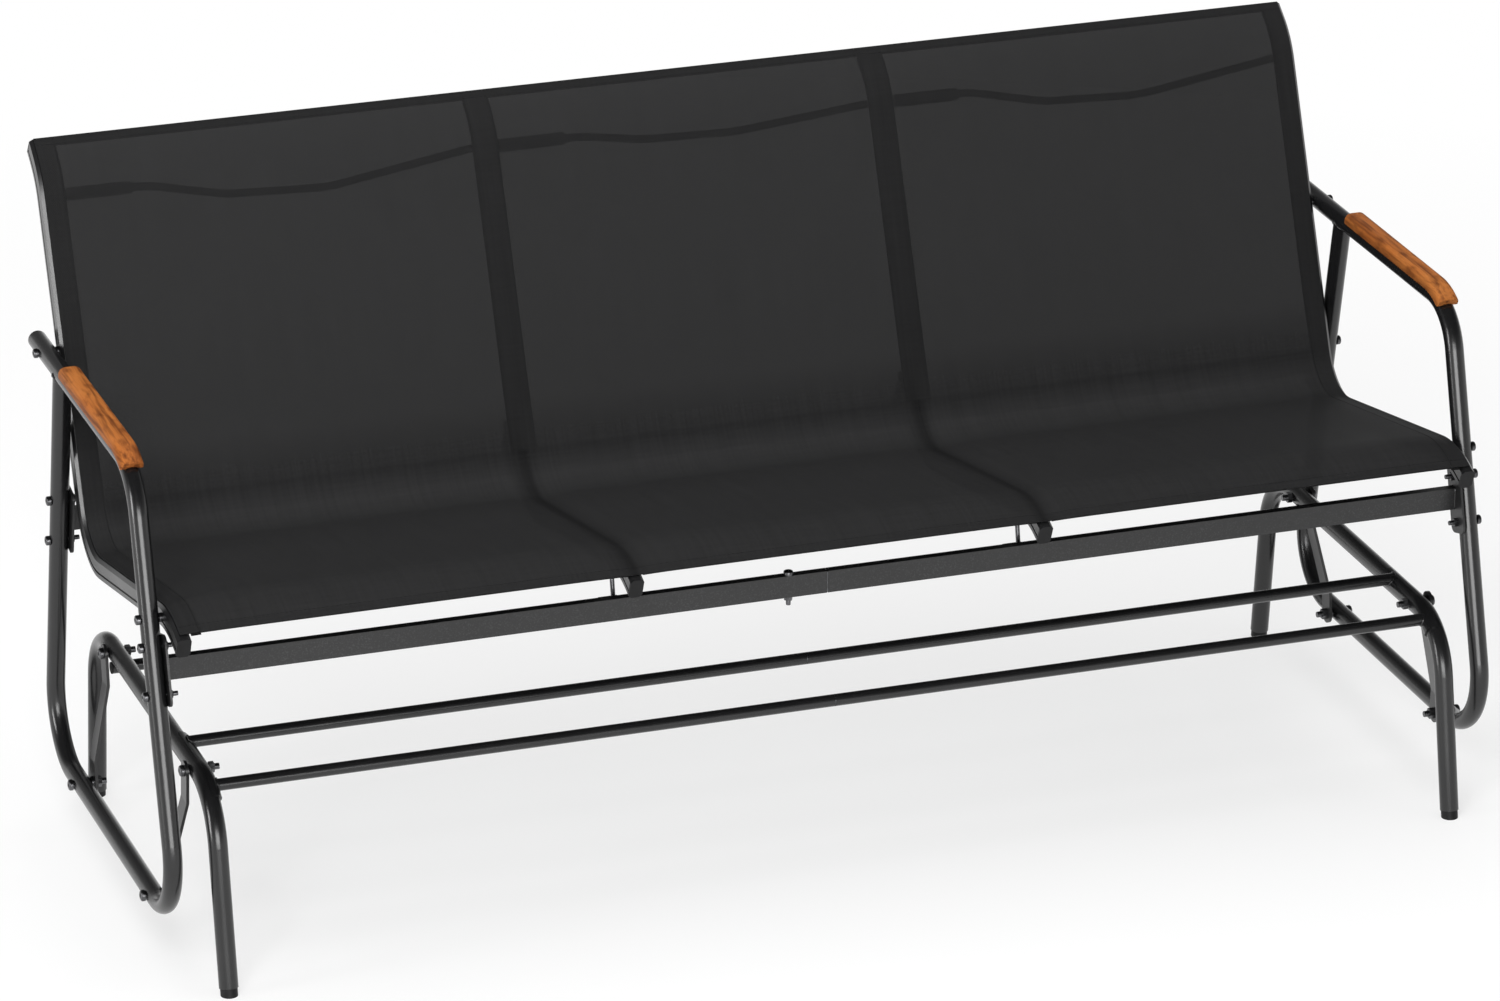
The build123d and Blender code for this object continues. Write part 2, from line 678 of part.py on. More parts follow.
with BuildPart() as frame_nuts:
    with BuildSketch(Plane.YZ.offset(plate_face)):
        with Locations(*front_plate_bolts, *rear_plate_bolts):
            RegularPolygon(nut_af / 2, 6, major_radius=False)
            Circle(bolt_d / 2, mode=Mode.SUBTRACT)
    extrude(amount=-nut_h)
    mirror(about=Plane.YZ)

with BuildPart() as rail_spacers:
    with BuildSketch(Plane.YZ.offset(rail_out)):
        with Locations(*rail_bolts):
            Circle(bolt_d)
            Circle(bolt_hole_d / 2, mode=Mode.SUBTRACT)
    extrude(amount=rail_gap)
    mirror(about=Plane.YZ)

# Sling rails
hanger_top = Vector(0, hanger_y, line_at_y(rail_under, 2, hanger_y))
seat_run = Vector(0, rail_line[3][0] - rail_line[2][0], rail_line[3][1] - rail_line[2][1]).normalized()
hanger_dir = Vector(0, seat_run.Z, -seat_run.Y) * -1
bracket_z = rear_beam_z + bracket_rise
bracket_bolt = (line_at_z(rail_line, 1, bracket_z), bracket_z)


def rail_outline():
    """Outer shape of a rail: a flat box with bevelled edges."""
    box = Rectangle(rail_w, rail_depth)
    chamfer(box.vertices(), rail_bevel)


def rail_section():
    """Section of a rail, with a waist rolled into each side, and its bore."""
    rail_outline()
    for edge in (-1, 1):
        with Locations((edge * rail_w / 2, -waist_at)):
            Rectangle(2 * waist_depth, waist_w, mode=Mode.SUBTRACT)
    Rectangle(rail_w - 2 * waist_depth - 2 * rail_wall, rail_depth - 2 * rail_wall, mode=Mode.SUBTRACT)


def sling_rail(x):
    """One rail, bent to the line of the sling."""
    return follow(Plane.YZ.offset(x), [rail_start, *rail_line[1:4], rail_stop], rail_radii, rail_section)


with BuildPart() as sling_rail_right:
    add(sling_rail(rail_x))
    with BuildSketch(Plane.YZ.offset(rail_x)):
        with Locations(*rail_bolts):
            Circle(bolt_hole_d / 2)
    extrude(amount=rail_w, mode=Mode.SUBTRACT)
with BuildPart() as sling_rail_left:
    mirror(sling_rail_right.part, about=Plane.YZ)


def middle_rail(x):
    """A rail with a hole in its left side for the bracket, and one below for the hanger bolt."""
    with BuildPart() as rail:
        add(sling_rail(x))
        with BuildSketch(Plane.YZ.offset(x)):
            with Locations(bracket_bolt):
                Circle(bolt_hole_d / 2)
        extrude(amount=-rail_w, mode=Mode.SUBTRACT)
        with BuildSketch(Plane(origin=hanger_top + Vector(x, 0, 0), x_dir=(1, 0, 0), z_dir=hanger_dir)):
            Circle(bolt_hole_d / 2)
        extrude(amount=-rail_depth / 2, mode=Mode.SUBTRACT)
    return rail.part


with BuildPart() as sling_rail_middle_right:
    add(middle_rail(mid_x))
with BuildPart() as sling_rail_middle_left:
    add(middle_rail(-mid_x))

with BuildPart() as rail_end_caps:
    for x in (rail_x, mid_x):
        for tip, out in ((rail_start, end_out), (rail_stop, front_out)):
            face = Plane(origin=(x, *tip), x_dir=(1, 0, 0), z_dir=(0, *out))
            with BuildSketch(face):
                rail_outline()
            extrude(amount=cap_t)
            with BuildSketch(face):
                Rectangle(
                    rail_w - 2 * (waist_depth + rail_wall + cap_plug_gap),
                    rail_depth - 2 * (rail_wall + cap_plug_gap),
                )
            extrude(amount=-cap_plug_len)
    mirror(about=Plane.YZ)

# Sling: one sheet over all four rails
lip = hypot(lip_reach, lip_drop)
cloth_end = tuple(q + (p - q) * sling_short / lip for p, q in zip((knee_y, knee_z), seat_front))
cloth_line = [*sling_line[:4], cloth_end]
with BuildPart() as sling:
    with BuildSketch(Plane.YZ):
        with BuildLine():
            upper = FilletPolyline(*cloth_line, radius=(curl_bend, corner_bend, knee_bend))
            lower = FilletPolyline(
                *shifted(cloth_line, sling_t),
                radius=(curl_bend - sling_t, corner_bend + sling_t, knee_bend - sling_t),
            )
            Line(upper @ 0, lower @ 0)
            Line(upper @ 1, lower @ 1)
        make_face()
    extrude(amount=rail_out - sling_inset, both=True)

# Spreader bars: a rod that bows away from the sitter, with a sleeve over its left end
spreader_z = back_top_z - spreader_drop
spreader_y = line_at_z(rail_line, 1, spreader_z)
bays = [(-rail_x, -mid_x), (-mid_x, mid_x), (mid_x, rail_x)]


def spreader(bay, tilt):
    """Rod of one bay from rail to rail, deepest just past its middle."""
    start, stop = bay[0] + rail_w / 2, bay[1] - rail_w / 2
    bow_dir = Vector(0, sin(radians(tilt)), -cos(radians(tilt)))
    lead = start + spreader_sleeve_len + spreader_lead
    middle = (lead + stop) / 2
    reach = (stop - lead) / 4
    plane = Plane(origin=(0, spreader_y, spreader_z), x_dir=(1, 0, 0), z_dir=Vector(1, 0, 0).cross(bow_dir))
    corners = [
        (start, 0),
        (lead, 0),
        (middle - reach, spreader_bow * 0.8),
        (middle + reach / 4, spreader_bow),
        (stop - spreader_d, 0),
        (stop, 0),
    ]
    bends = (spreader_bend, spreader_bend, spreader_bend, spreader_d)
    return follow(plane, corners, bends, lambda: Circle(spreader_d / 2))


with BuildPart() as spreader_bar_left:
    add(spreader(bays[0], spreader_tilt))
with BuildPart() as spreader_bar_middle:
    add(spreader(bays[1], mid_spreader_tilt))
with BuildPart() as spreader_bar_right:
    add(spreader(bays[2], spreader_tilt))

with BuildPart() as spreader_sleeves:
    for bay in bays:
        with BuildSketch(Plane.YZ.offset(bay[0] + rail_w / 2)):
            with Locations((spreader_y, spreader_z)):
                Circle(spreader_sleeve_d / 2)
                Circle(spreader_d / 2 + spreader_gap, mode=Mode.SUBTRACT)
        extrude(amount=spreader_sleeve_len)

# Middle rails: a hanger bolt to a tab on the front beam, and a bracket on the rear beam
tab_z = front_beam_z - beam_h / 2 + hanger_tab_up
tab_y = front_beam_y + beam_w / 2
hanger_drop = (hanger_top.Z - tab_z) / -hanger_dir.Z
hanger_low = hanger_top + hanger_dir * hanger_drop
with BuildPart() as hanger_tabs:
    with BuildSketch(Plane.XY.offset(tab_z)):
        with Locations((mid_x, tab_y + hanger_tab_len / 2)):
            Rectangle(hanger_tab_w, hanger_tab_len)
        with Locations((mid_x, hanger_low.Y)):
            Circle(bolt_d / 2 + 4 * hole_gap, mode=Mode.SUBTRACT)
    extrude(amount=-hanger_tab_t)
    mirror(about=Plane.YZ)

with BuildPart() as hanger_bolts:
    with BuildSketch(Plane(origin=hanger_top + Vector(mid_x, 0, 0), x_dir=(1, 0, 0), z_dir=hanger_dir)):
        Circle(bolt_d / 2)
    extrude(amount=hanger_drop + hanger_tab_t + nut_h + bolt_proud)
    extrude(hanger_bolts.faces().sort_by(Axis.Z)[-1], amount=rail_depth / 4)
    mirror(about=Plane.YZ)

with BuildPart() as hanger_nuts:
    with BuildSketch(Plane.XY.offset(tab_z - hanger_tab_t)):
        with Locations((mid_x, hanger_low.Y + hanger_dir.Y * (hanger_tab_t + nut_h / 2))):
            RegularPolygon(nut_af / 2, 6, major_radius=False)
            Circle(bolt_d / 2 + 4 * hole_gap, mode=Mode.SUBTRACT)
    extrude(amount=-nut_h)
    mirror(about=Plane.YZ)

bracket_sides = [x - rail_w / 2 for x in (-mid_x, mid_x)]
beam_top_z = rear_beam_z + beam_h / 2
with BuildPart() as rail_brackets:
    for side in bracket_sides:
        with BuildSketch(Plane.YZ.offset(side)):
            with BuildLine():
                Polyline(
                    (rear_beam_y - bracket_foot / 2, beam_top_z),
                    (rear_beam_y + bracket_foot / 2, beam_top_z),
                    (bracket_bolt[0] + bracket_eye, bracket_bolt[1]),
                    (bracket_bolt[0], bracket_bolt[1] + bracket_eye),
                    (bracket_bolt[0] - bracket_eye, bracket_bolt[1]),
                    close=True,
                )
            make_face()
            with Locations(bracket_bolt):
                Circle(bolt_hole_d / 2, mode=Mode.SUBTRACT)
        extrude(amount=-bracket_t)

with BuildPart() as bracket_bolts:
    for side in bracket_sides:
        with BuildSketch(Plane.YZ.offset(side - bracket_t)):
            with Locations(bracket_bolt):
                RegularPolygon(head_af / 2, 6, major_radius=False)
        extrude(amount=-head_h)
        with BuildSketch(Plane.YZ.offset(side - bracket_t)):
            with Locations(bracket_bolt):
                Circle(bolt_d / 2)
        extrude(amount=bracket_t + rail_w / 2)

pieces = {
    "base_arch_left": base_arch_left,
    "base_arch_right": base_arch_right,
    "foot_caps": foot_caps,
    "saddle_left": saddle_left,
    "saddle_right": saddle_right,
    "fore_stretcher_left": fore_stretcher_left,
    "fore_stretcher_right": fore_stretcher_right,
    "mid_stretcher_left": mid_stretcher_left,
    "mid_stretcher_right": mid_stretcher_right,
    "rear_stretcher_left": rear_stretcher_left,
    "rear_stretcher_right": rear_stretcher_right,
    "rear_stretcher_plugs": rear_stretcher_plugs,
    "stretcher_sleeves": stretcher_sleeves,
    "upper_pivot_bolts": upper_pivot_bolts,
    "upper_pivot_nuts": upper_pivot_nuts,
    "upper_pivot_washers": upper_pivot_washers,
    "link_front_left": link_front_left,
    "link_front_right": link_front_right,
    "link_rear_left": link_rear_left,
    "link_rear_right": link_rear_right,
    "side_frame_left": side_frame_left,
    "side_frame_right": side_frame_right,
    "armrest_plugs": armrest_plugs,
    "armrest_pad_left": armrest_pad_left,
    "armrest_pad_right": armrest_pad_right,
    "lower_pivot_bolts": lower_pivot_bolts,
    "lower_pivot_nuts": lower_pivot_nuts,
    "lower_pivot_washers": lower_pivot_washers,
    "front_beam_left": front_beam_left,
    "front_beam_right": front_beam_right,
    "rear_beam_left": rear_beam_left,
    "rear_beam_right": rear_beam_right,
    "beam_sleeves": beam_sleeves,
    "splice_bolt": splice_bolt,
    "splice_nut": splice_nut,
    "front_beam_plate_left": front_beam_plate_left,
    "front_beam_plate_right": front_beam_plate_right,
    "rear_beam_plate_left": rear_beam_plate_left,
    "rear_beam_plate_right": rear_beam_plate_right,
    "frame_bolts": frame_bolts,
    "frame_nuts": frame_nuts,
    "rail_spacers": rail_spacers,
    "sling_rail_left": sling_rail_left,
    "sling_rail_middle_left": sling_rail_middle_left,
    "sling_rail_middle_right": sling_rail_middle_right,
    "sling_rail_right": sling_rail_right,
    "rail_end_caps": rail_end_caps,
    "sling": sling,
    "spreader_bar_left": spreader_bar_left,
    "spreader_bar_middle": spreader_bar_middle,
    "spreader_bar_right": spreader_bar_right,
    "spreader_sleeves": spreader_sleeves,
    "hanger_tabs": hanger_tabs,
    "hanger_bolts": hanger_bolts,
    "hanger_nuts": hanger_nuts,
    "rail_brackets": rail_brackets,
    "bracket_bolts": bracket_bolts,
}

# The origin goes under the middle of the bench's depth
boxes = [piece.part.bounding_box() for piece in pieces.values()]
middle_y = (min(box.min.Y for box in boxes) + max(box.max.Y for box in boxes)) / 2
for name, piece in pieces.items():
    placed = piece.part.moved(Location((0, -middle_y, 0)))
    placed.label = name
    export_step(placed, f"parts/{name}.step")
print(f"depth of the origin behind the middle of the base {middle_y:.3f}")
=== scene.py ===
"""Finishes, mesh sling, seams, welds, light and camera for a three-seat glider bench."""
import json
import math

import bmesh
import bpy
from mathutils import Matrix, Vector


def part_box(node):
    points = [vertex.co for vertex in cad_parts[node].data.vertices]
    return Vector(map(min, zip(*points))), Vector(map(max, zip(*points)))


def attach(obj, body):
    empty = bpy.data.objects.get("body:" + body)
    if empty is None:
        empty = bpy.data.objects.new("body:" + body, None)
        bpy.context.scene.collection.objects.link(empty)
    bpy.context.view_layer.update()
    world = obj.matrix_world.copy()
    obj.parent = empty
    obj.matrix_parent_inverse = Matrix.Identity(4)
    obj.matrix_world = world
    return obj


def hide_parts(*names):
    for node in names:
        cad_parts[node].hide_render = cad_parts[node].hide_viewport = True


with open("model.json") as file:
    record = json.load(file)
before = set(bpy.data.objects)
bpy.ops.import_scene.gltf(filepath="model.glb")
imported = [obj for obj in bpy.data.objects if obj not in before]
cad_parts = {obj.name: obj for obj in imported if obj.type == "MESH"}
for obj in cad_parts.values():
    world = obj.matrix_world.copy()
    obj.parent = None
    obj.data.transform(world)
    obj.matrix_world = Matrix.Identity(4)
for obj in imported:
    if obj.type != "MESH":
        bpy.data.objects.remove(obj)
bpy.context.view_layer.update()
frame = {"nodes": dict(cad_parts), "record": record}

bl_info = {
    "name": "Glider Bench",
    "version": (1, 0, 0),
    "blender": (4, 5, 0),
    "location": "3D View > Sidebar > Glider",
    "description": "Dresses the frame of a sling glider bench and sets it up for a studio picture",
    "category": "Object",
}

SEAT = "seat"
BASE = "base"
RAILS = ["sling_rail_left", "sling_rail_middle_left", "sling_rail_middle_right", "sling_rail_right"]

# Points closer than this are one
MERGE_DISTANCE = 0.00001

# The sling's upper face in side view, from the top of the back to the front of the seat: corners and bends
SLING_CORNERS = [
    (0.366868, 0.9090),
    (0.320668, 0.8754),
    (0.132468, 0.4198),
    (-0.274932, 0.4971),
    (-0.327132, 0.4750),
]
SLING_BENDS = [0.120, 0.070, 0.150]
SLING_SHORT = 0.009

# From an end rail's outer side to the edge of the mesh, and from a rail's side to a hem
SLING_INSET = 0.005
HEM_CLEAR = 0.0005

# Weave: pitch of the yarns, and how far its changes of tone run out
WEAVE_PITCH = 0.0016
SOFT_EDGE = 0.001

# Painted shade and light on the mesh: darker where it is doubled, a painted shade line along each middle
# rail of the seat, and a painted highlight in the crease
DOUBLED_SHADE_TONE = 0.86
RAIL_SHADE_TONE = 0.6
RAIL_SHADE_REACH = 0.026
CREASE_HIGHLIGHT_TONE = 1.25

# Length down the sling from its top where the back gives way to the seat, and over how much
SEAT_BEGINS = 0.42
SEAT_FADE = 0.10

# Lengths down the sling from its top over which the crease's painted highlight comes and goes
CREASE_STARTS = (0.49, 0.52)
CREASE_ENDS = (0.53, 0.58)

# Spacing of the mesh's columns and rows, and extra columns at these distances from a rail
COLUMN_STEP = 0.015
ROW_STEP = 0.010
FINE_STEP = 0.003
RAIL_COLUMNS = [0.004, 0.007, 0.010, 0.014, 0.019, 0.025, 0.033, 0.043, 0.056]

# Swell between the rails: flat on a rail, how fast it rises beside one, and its fall to the sling's ends
SWELL_FLAT = 0.004
SWELL_RISE = 0.020
SWELL_AT_ENDS = 0.25
END_FADE = 0.06

# Hems: gaps between layers of cloth, beside a side hem and below the top hem, and a side hem's front tab
LAYER_GAP = 0.0001
HEM_APART = 0.0002
POCKET_BELOW = 0.001
HEM_TAB = 0.003

# Seams: distance from the hem's edge and from the sling's sides, and the shape of a stitch
SEAM_IN = 0.002
SEAM_ENDS = 0.004
THREAD_RADIUS = 0.00035
STITCH_SHARE = 0.7
STITCH_SHOULDER = 0.3

# Bolts across the bench, in side view
PLATE_BOLTS = [(-0.273563, 0.380154), (-0.256807, 0.439846), (0.218670, 0.403633), (0.206203, 0.464367)]
RAIL_BOLTS = [(-0.247022, 0.474705), (0.248215, 0.656)]
LOWER_PIVOTS = [(-0.228132, 0.086), (0.139868, 0.086)]
UPPER_PIVOTS = [(-0.246132, 0.260), (0.157868, 0.260)]
BRACKET_BOLT = (0.183774, 0.500)

# Stretchers welded to the saddles: name, place in side view, height of the saddle's axis and its slope
STRETCHERS = [
    ("fore", (-0.290132, 0.254), 0.2525, 0.42),
    ("mid", (-0.180132, 0.269), 0.260, 0.0),
]

# Other places where tubes are welded, in side view
BEAMS = [("front", (-0.258185, 0.410)), ("rear", (0.212436, 0.434))]
SPREADER = (0.325048, 0.842)
REAR_UPRIGHT_TOP = (0.166868, 0.656)
REAR_UPRIGHT_LEAN = 0.205263

# Centre and radius of the armrest tube's front bend, in side view
ARM_BEND_CENTRE = (-0.139290, 0.581)
ARM_BEND = 0.075

# Section of an armrest pad, from the tube's axis, and how far it follows the bend
PAD_UNDER = 0.0095
PAD_ROUND = 0.010
PAD_HOLLOW = 0.0126
PAD_END_ROUND = 0.003
PAD_TURN = math.radians(32)

# Domed heads: sizes, rim beside the socket, steps of the dome and depth of the socket in walls
SMALL_HEAD = {"across": 0.0128, "wall": 0.0041, "rise": 0.0020, "socket": 0.004}
LARGE_HEAD = {"across": 0.0150, "wall": 0.0036, "rise": 0.0024, "socket": 0.005}
SOCKET_RIM = 0.0004
DOME_STEPS = [(0.2, 0.55), (0.35, 0.3), (0.45, 0.15)]
SOCKET_DEPTH = 0.6

# From the end of an upper pivot bolt in to its head, and the thickness of a bracket's leaf
PIVOT_HEAD_IN = 0.0035
BRACKET_LEAF = 0.003

# Threads: sizes, depth of the root, height of the crest, and how far a nut reaches from its bolt
SMALL_THREAD = {"diameter": 0.006, "pitch": 0.0010, "turns": 5}
LARGE_THREAD = {"diameter": 0.008, "pitch": 0.00125, "turns": 4}
THREAD_ROOT = 0.00005
THREAD_CREST = 0.00028
NUT_REACH = 0.02

# Radii of what is welded, least distance of a saddle's weld from the arch's plane, and a beam's section
SADDLE_RADIUS = 0.0151
SADDLE_DEPTH = 0.00625
TUBE_RADIUS = 0.0125
STRETCHER_RADIUS = 0.008
SLEEVE_RADIUS = 0.009
SPREADER_RADIUS = 0.0055
BEAM_HALF = (0.006, 0.015)
BEAM_SQUARENESS = 0.35
BEAM_RING = 0.012

# Weld beads: radii, length of a ripple and its height as a share
STRETCHER_BEAD = 0.0016
BEAM_BEAD = 0.0014
UPRIGHT_BEAD = 0.0018
SPREADER_BEAD = 0.0013
RIPPLE = 0.0022
RIPPLE_HEIGHT = 0.16

# Floor: its size, and the distances over which it is lifted to full white
FLOOR_SIZE = 400.0
FLOOR_LIFT = (1.3, 3.0)

# Surroundings: grey at level sight and overhead, and the heights over which the white backdrop fades
GREY_LEVEL = 0.5
GREY_OVERHEAD = 0.06
GREY_REACH = 0.6
BACKDROP_FADE = (0.08, 0.14)

# Name, place, aim, size and power of each lamp, and what it leaves out: reflections, matt light or nothing
LAMPS = [
    ("overhead_softbox", (0.3, 1.0, 5.5), (0.3, 1.0, 0.0), (8.0, 7.0), 330.0, "reflections"),
    ("front_softbox", (-2.6, -3.9, 4.0), (0.0, 0.0, 0.5), (2.5, 2.0), 220.0, "reflections"),
    ("front_panel", (-1.6, -6.2, 1.5), (0.0, 0.0, 0.5), (4.4, 2.2), 230.0, "matt light"),
    ("left_panel", (-5.8, -0.8, 1.3), (0.0, 0.0, 0.6), (1.0, 2.4), 95.0, "nothing"),
]


class GliderCoat(bpy.types.PropertyGroup):
    """Powder coat of the steel, and the plating and mouldings that go with it."""

    charcoal: bpy.props.FloatVectorProperty(
        name="Charcoal", description="Main tone of the powder coat", size=4, min=0.0, max=1.0,
        default=(0.0065, 0.0065, 0.0069, 1.0), subtype="COLOR",
    )
    speckle: bpy.props.FloatVectorProperty(
        name="Speckle", description="Paler grain in the powder coat", size=4, min=0.0, max=1.0,
        default=(0.030, 0.030, 0.031, 1.0), subtype="COLOR",
    )
    black_zinc: bpy.props.FloatVectorProperty(
        name="Black zinc", description="Plating of nuts and bolts", size=4, min=0.0, max=1.0,
        default=(0.150, 0.150, 0.156, 1.0), subtype="COLOR",
    )
    steel: bpy.props.FloatVectorProperty(
        name="Bare steel", description="Drawn steel of the hidden sleeves", size=4, min=0.0, max=1.0,
        default=(0.42, 0.43, 0.45, 1.0), subtype="COLOR",
    )
    plastic: bpy.props.FloatVectorProperty(
        name="Plastic", description="Caps, plugs and feet", size=4, min=0.0, max=1.0,
        default=(0.007, 0.007, 0.0075, 1.0), subtype="COLOR",
    )


class GliderWood(bpy.types.PropertyGroup):
    """Oiled hardwood of the armrest pads."""

    body: bpy.props.FloatVectorProperty(
        name="Body", description="Main tone of the wood", size=4, min=0.0, max=1.0,
        default=(0.345, 0.105, 0.023, 1.0), subtype="COLOR",
    )
    pale: bpy.props.FloatVectorProperty(
        name="Pale", description="Early wood between the dark lines", size=4, min=0.0, max=1.0,
        default=(0.430, 0.150, 0.036, 1.0), subtype="COLOR",
    )
    dark: bpy.props.FloatVectorProperty(
        name="Dark", description="Grain lines and patches", size=4, min=0.0, max=1.0,
        default=(0.085, 0.022, 0.007, 1.0), subtype="COLOR",
    )


class GliderSling(bpy.types.PropertyGroup):
    """Woven mesh of the seat and back."""

    yarn: bpy.props.FloatVectorProperty(
        name="Yarn", description="Coated yarn of the mesh", size=4, min=0.0, max=1.0,
        default=(0.0205, 0.0205, 0.0209, 1.0), subtype="COLOR",
    )
    hem_tone: bpy.props.FloatVectorProperty(
        name="Hem", description="Doubled cloth at the edges", size=4, min=0.0, max=1.0,
        default=(0.0098, 0.0098, 0.0100, 1.0), subtype="COLOR",
    )
    thickness: bpy.props.FloatProperty(
        name="Thickness", description="Thickness of the mesh", default=0.0012, min=0.0005, max=0.0016,
        subtype="DISTANCE", unit="LENGTH",
    )
    hollow: bpy.props.FloatProperty(
        name="Hollow", description="How far the mesh sinks between two rails of the back",
        default=0.0035, min=0.0, max=0.008, subtype="DISTANCE", unit="LENGTH",
    )
    lift: bpy.props.FloatProperty(
        name="Lift", description="How far the mesh swells between the rails over the crease and the seat",
        default=0.006, min=0.0, max=0.008, subtype="DISTANCE", unit="LENGTH",
    )
    side_hem: bpy.props.FloatProperty(
        name="Side hem", description="Width of the hem along each end rail",
        default=0.027, min=0.015, max=0.060, subtype="DISTANCE", unit="LENGTH",
    )
    top_hem: bpy.props.FloatProperty(
        name="Top hem", description="Width of the hem along the top", default=0.014, min=0.006, max=0.040,
        subtype="DISTANCE", unit="LENGTH",
    )
    pocket: bpy.props.FloatProperty(
        name="Pocket", description="Width of doubled cloth on each side of a middle rail", default=0.008,
        min=0.004, max=0.030, subtype="DISTANCE", unit="LENGTH",
    )
    pocket_run: bpy.props.FloatProperty(
        name="Pocket length", description="Length of the pockets, down from the top of the back",
        default=0.49, min=0.10, max=0.90, subtype="DISTANCE", unit="LENGTH",
    )
    stitch: bpy.props.FloatProperty(
        name="Stitch", description="Length of a stitch with its gap", default=0.006, min=0.003, max=0.012,
        subtype="DISTANCE", unit="LENGTH",
    )
    back_cover: bpy.props.FloatProperty(
        name="Back cover", description="Share of each face of the mesh that the yarns close on the back",
        default=0.885, min=0.5, max=1.0, subtype="FACTOR",
    )
    seat_cover: bpy.props.FloatProperty(
        name="Seat cover", description="Share of each face of the mesh that the yarns close on the seat",
        default=0.945, min=0.5, max=1.0, subtype="FACTOR",
    )


class GliderStage(bpy.types.PropertyGroup):
    """Studio floor, lamps and camera."""

    camera_place: bpy.props.FloatVectorProperty(
        name="Camera", description="Place of the camera", size=3, default=(-3.1179, -8.9657, 4.2258),
        subtype="XYZ_LENGTH", unit="LENGTH",
    )
    camera_turn: bpy.props.FloatVectorProperty(
        name="Turn", description="Turn of the camera", size=3,
        default=(math.radians(68.17), 0.0, math.radians(-19.09)), subtype="EULER", unit="ROTATION",
    )
    lens: bpy.props.FloatProperty(
        name="Lens", description="Focal length in millimetres", default=185.5, min=20.0,
    )
    floor_white: bpy.props.FloatProperty(
        name="Floor white", description="How far the floor is lifted to white where the camera sees it",
        default=0.68, min=0.0, max=1.0, subtype="FACTOR",
    )


def lay_node(tree, kind, inputs=None, **options):
    """Add a shader node, with options set on the node and values or links on its inputs."""
    made = tree.nodes.new("ShaderNode" + kind)
    for name, value in options.items():
        setattr(made, name, value)
    for name, value in (inputs or {}).items():
        if isinstance(value, bpy.types.NodeSocket):
            tree.links.new(value, made.inputs[name])
        else:
            made.inputs[name].default_value = value
    return made


def blank_material(name):
    """New material with one Principled shader on its output."""
    material = bpy.data.materials.new(name)
    material.use_nodes = True
    tree = material.node_tree
    tree.nodes.clear()
    shader = lay_node(tree, "BsdfPrincipled")
    lay_node(tree, "OutputMaterial", {"Surface": shader.outputs["BSDF"]})
    return material, tree, shader


def grain(tree, where, scale, detail=2.0, stretch=None):
    """Noise over the piece, at a scale in patches a metre, stretched along its axes if asked."""
    if stretch:
        where = lay_node(tree, "Mapping", {"Vector": where, "Scale": stretch}).outputs["Vector"]
    return lay_node(tree, "TexNoise", {"Vector": where, "Scale": scale, "Detail": detail}).outputs["Fac"]


def spread(tree, value, source, target):
    """Stretch one range of values over another."""
    low, high = source
    to_low, to_high = target
    ranges = {"Value": value, "From Min": low, "From Max": high, "To Min": to_low, "To Max": to_high}
    return lay_node(tree, "MapRange", ranges).outputs["Result"]


def blend_colours(tree, share, first, second):
    """Mix two colours, or links to colours, by a share."""
    return lay_node(tree, "Mix", {0: share, 6: first, 7: second}, data_type="RGBA").outputs[2]


def reckon(tree, operation, first, second=0.0):
    """One sum on two values or links."""
    return lay_node(tree, "Math", {0: first, 1: second}, operation=operation).outputs[0]


def raise_bump(tree, shader, height, strength, depth):
    """Bump of a height field, with its depth in metres."""
    relief = lay_node(tree, "Bump", {"Height": height, "Strength": strength, "Distance": depth})
    tree.links.new(relief.outputs["Normal"], shader.inputs["Normal"])


def powder_coat(name, settings, grit, rough, flecks=1500.0):
    """Charcoal powder coat: fine orange peel, a sparse paler grain and slow changes of gloss."""
    material, tree, shader = blank_material(name)
    place = lay_node(tree, "TexCoord").outputs["Object"]
    peel = grain(tree, place, scale=900.0, detail=3.0)
    fleck = grain(tree, place, scale=flecks, detail=1.0)
    cloud = grain(tree, place, scale=7.0, detail=3.0)
    share = spread(tree, fleck, (0.52, 0.78), (0.0, grit))
    tone = blend_colours(tree, share, tuple(settings.charcoal), tuple(settings.speckle))
    dim = spread(tree, cloud, (0.3, 0.7), (0.86, 1.1))
    tint = lay_node(tree, "HueSaturation", {"Color": tone, "Value": dim}).outputs["Color"]
    tree.links.new(tint, shader.inputs["Base Color"])
    tree.links.new(spread(tree, cloud, (0.3, 0.7), rough), shader.inputs["Roughness"])
    shader.inputs["Specular IOR Level"].default_value = 0.62
    raise_bump(tree, shader, peel, strength=0.05, depth=0.0003)
    return material


def plated_steel(name, colour, rough):
    """Zinc plating: metal with cloudy gloss and fine scratches."""
    material, tree, shader = blank_material(name)
    place = lay_node(tree, "TexCoord").outputs["Object"]
    cloud = grain(tree, place, scale=160.0, detail=3.0)
    scratch = grain(tree, place, scale=900.0, detail=2.0, stretch=(0.15, 1.0, 1.0))
    dull = tuple(0.55 * part for part in colour[:3]) + (1.0,)
    tone = blend_colours(tree, spread(tree, cloud, (0.35, 0.65), (0.0, 1.0)), dull, tuple(colour))
    tree.links.new(tone, shader.inputs["Base Color"])
    tree.links.new(spread(tree, scratch, (0.3, 0.7), rough), shader.inputs["Roughness"])
    shader.inputs["Metallic"].default_value = 1.0
    raise_bump(tree, shader, scratch, strength=0.1, depth=0.0001)
    return material


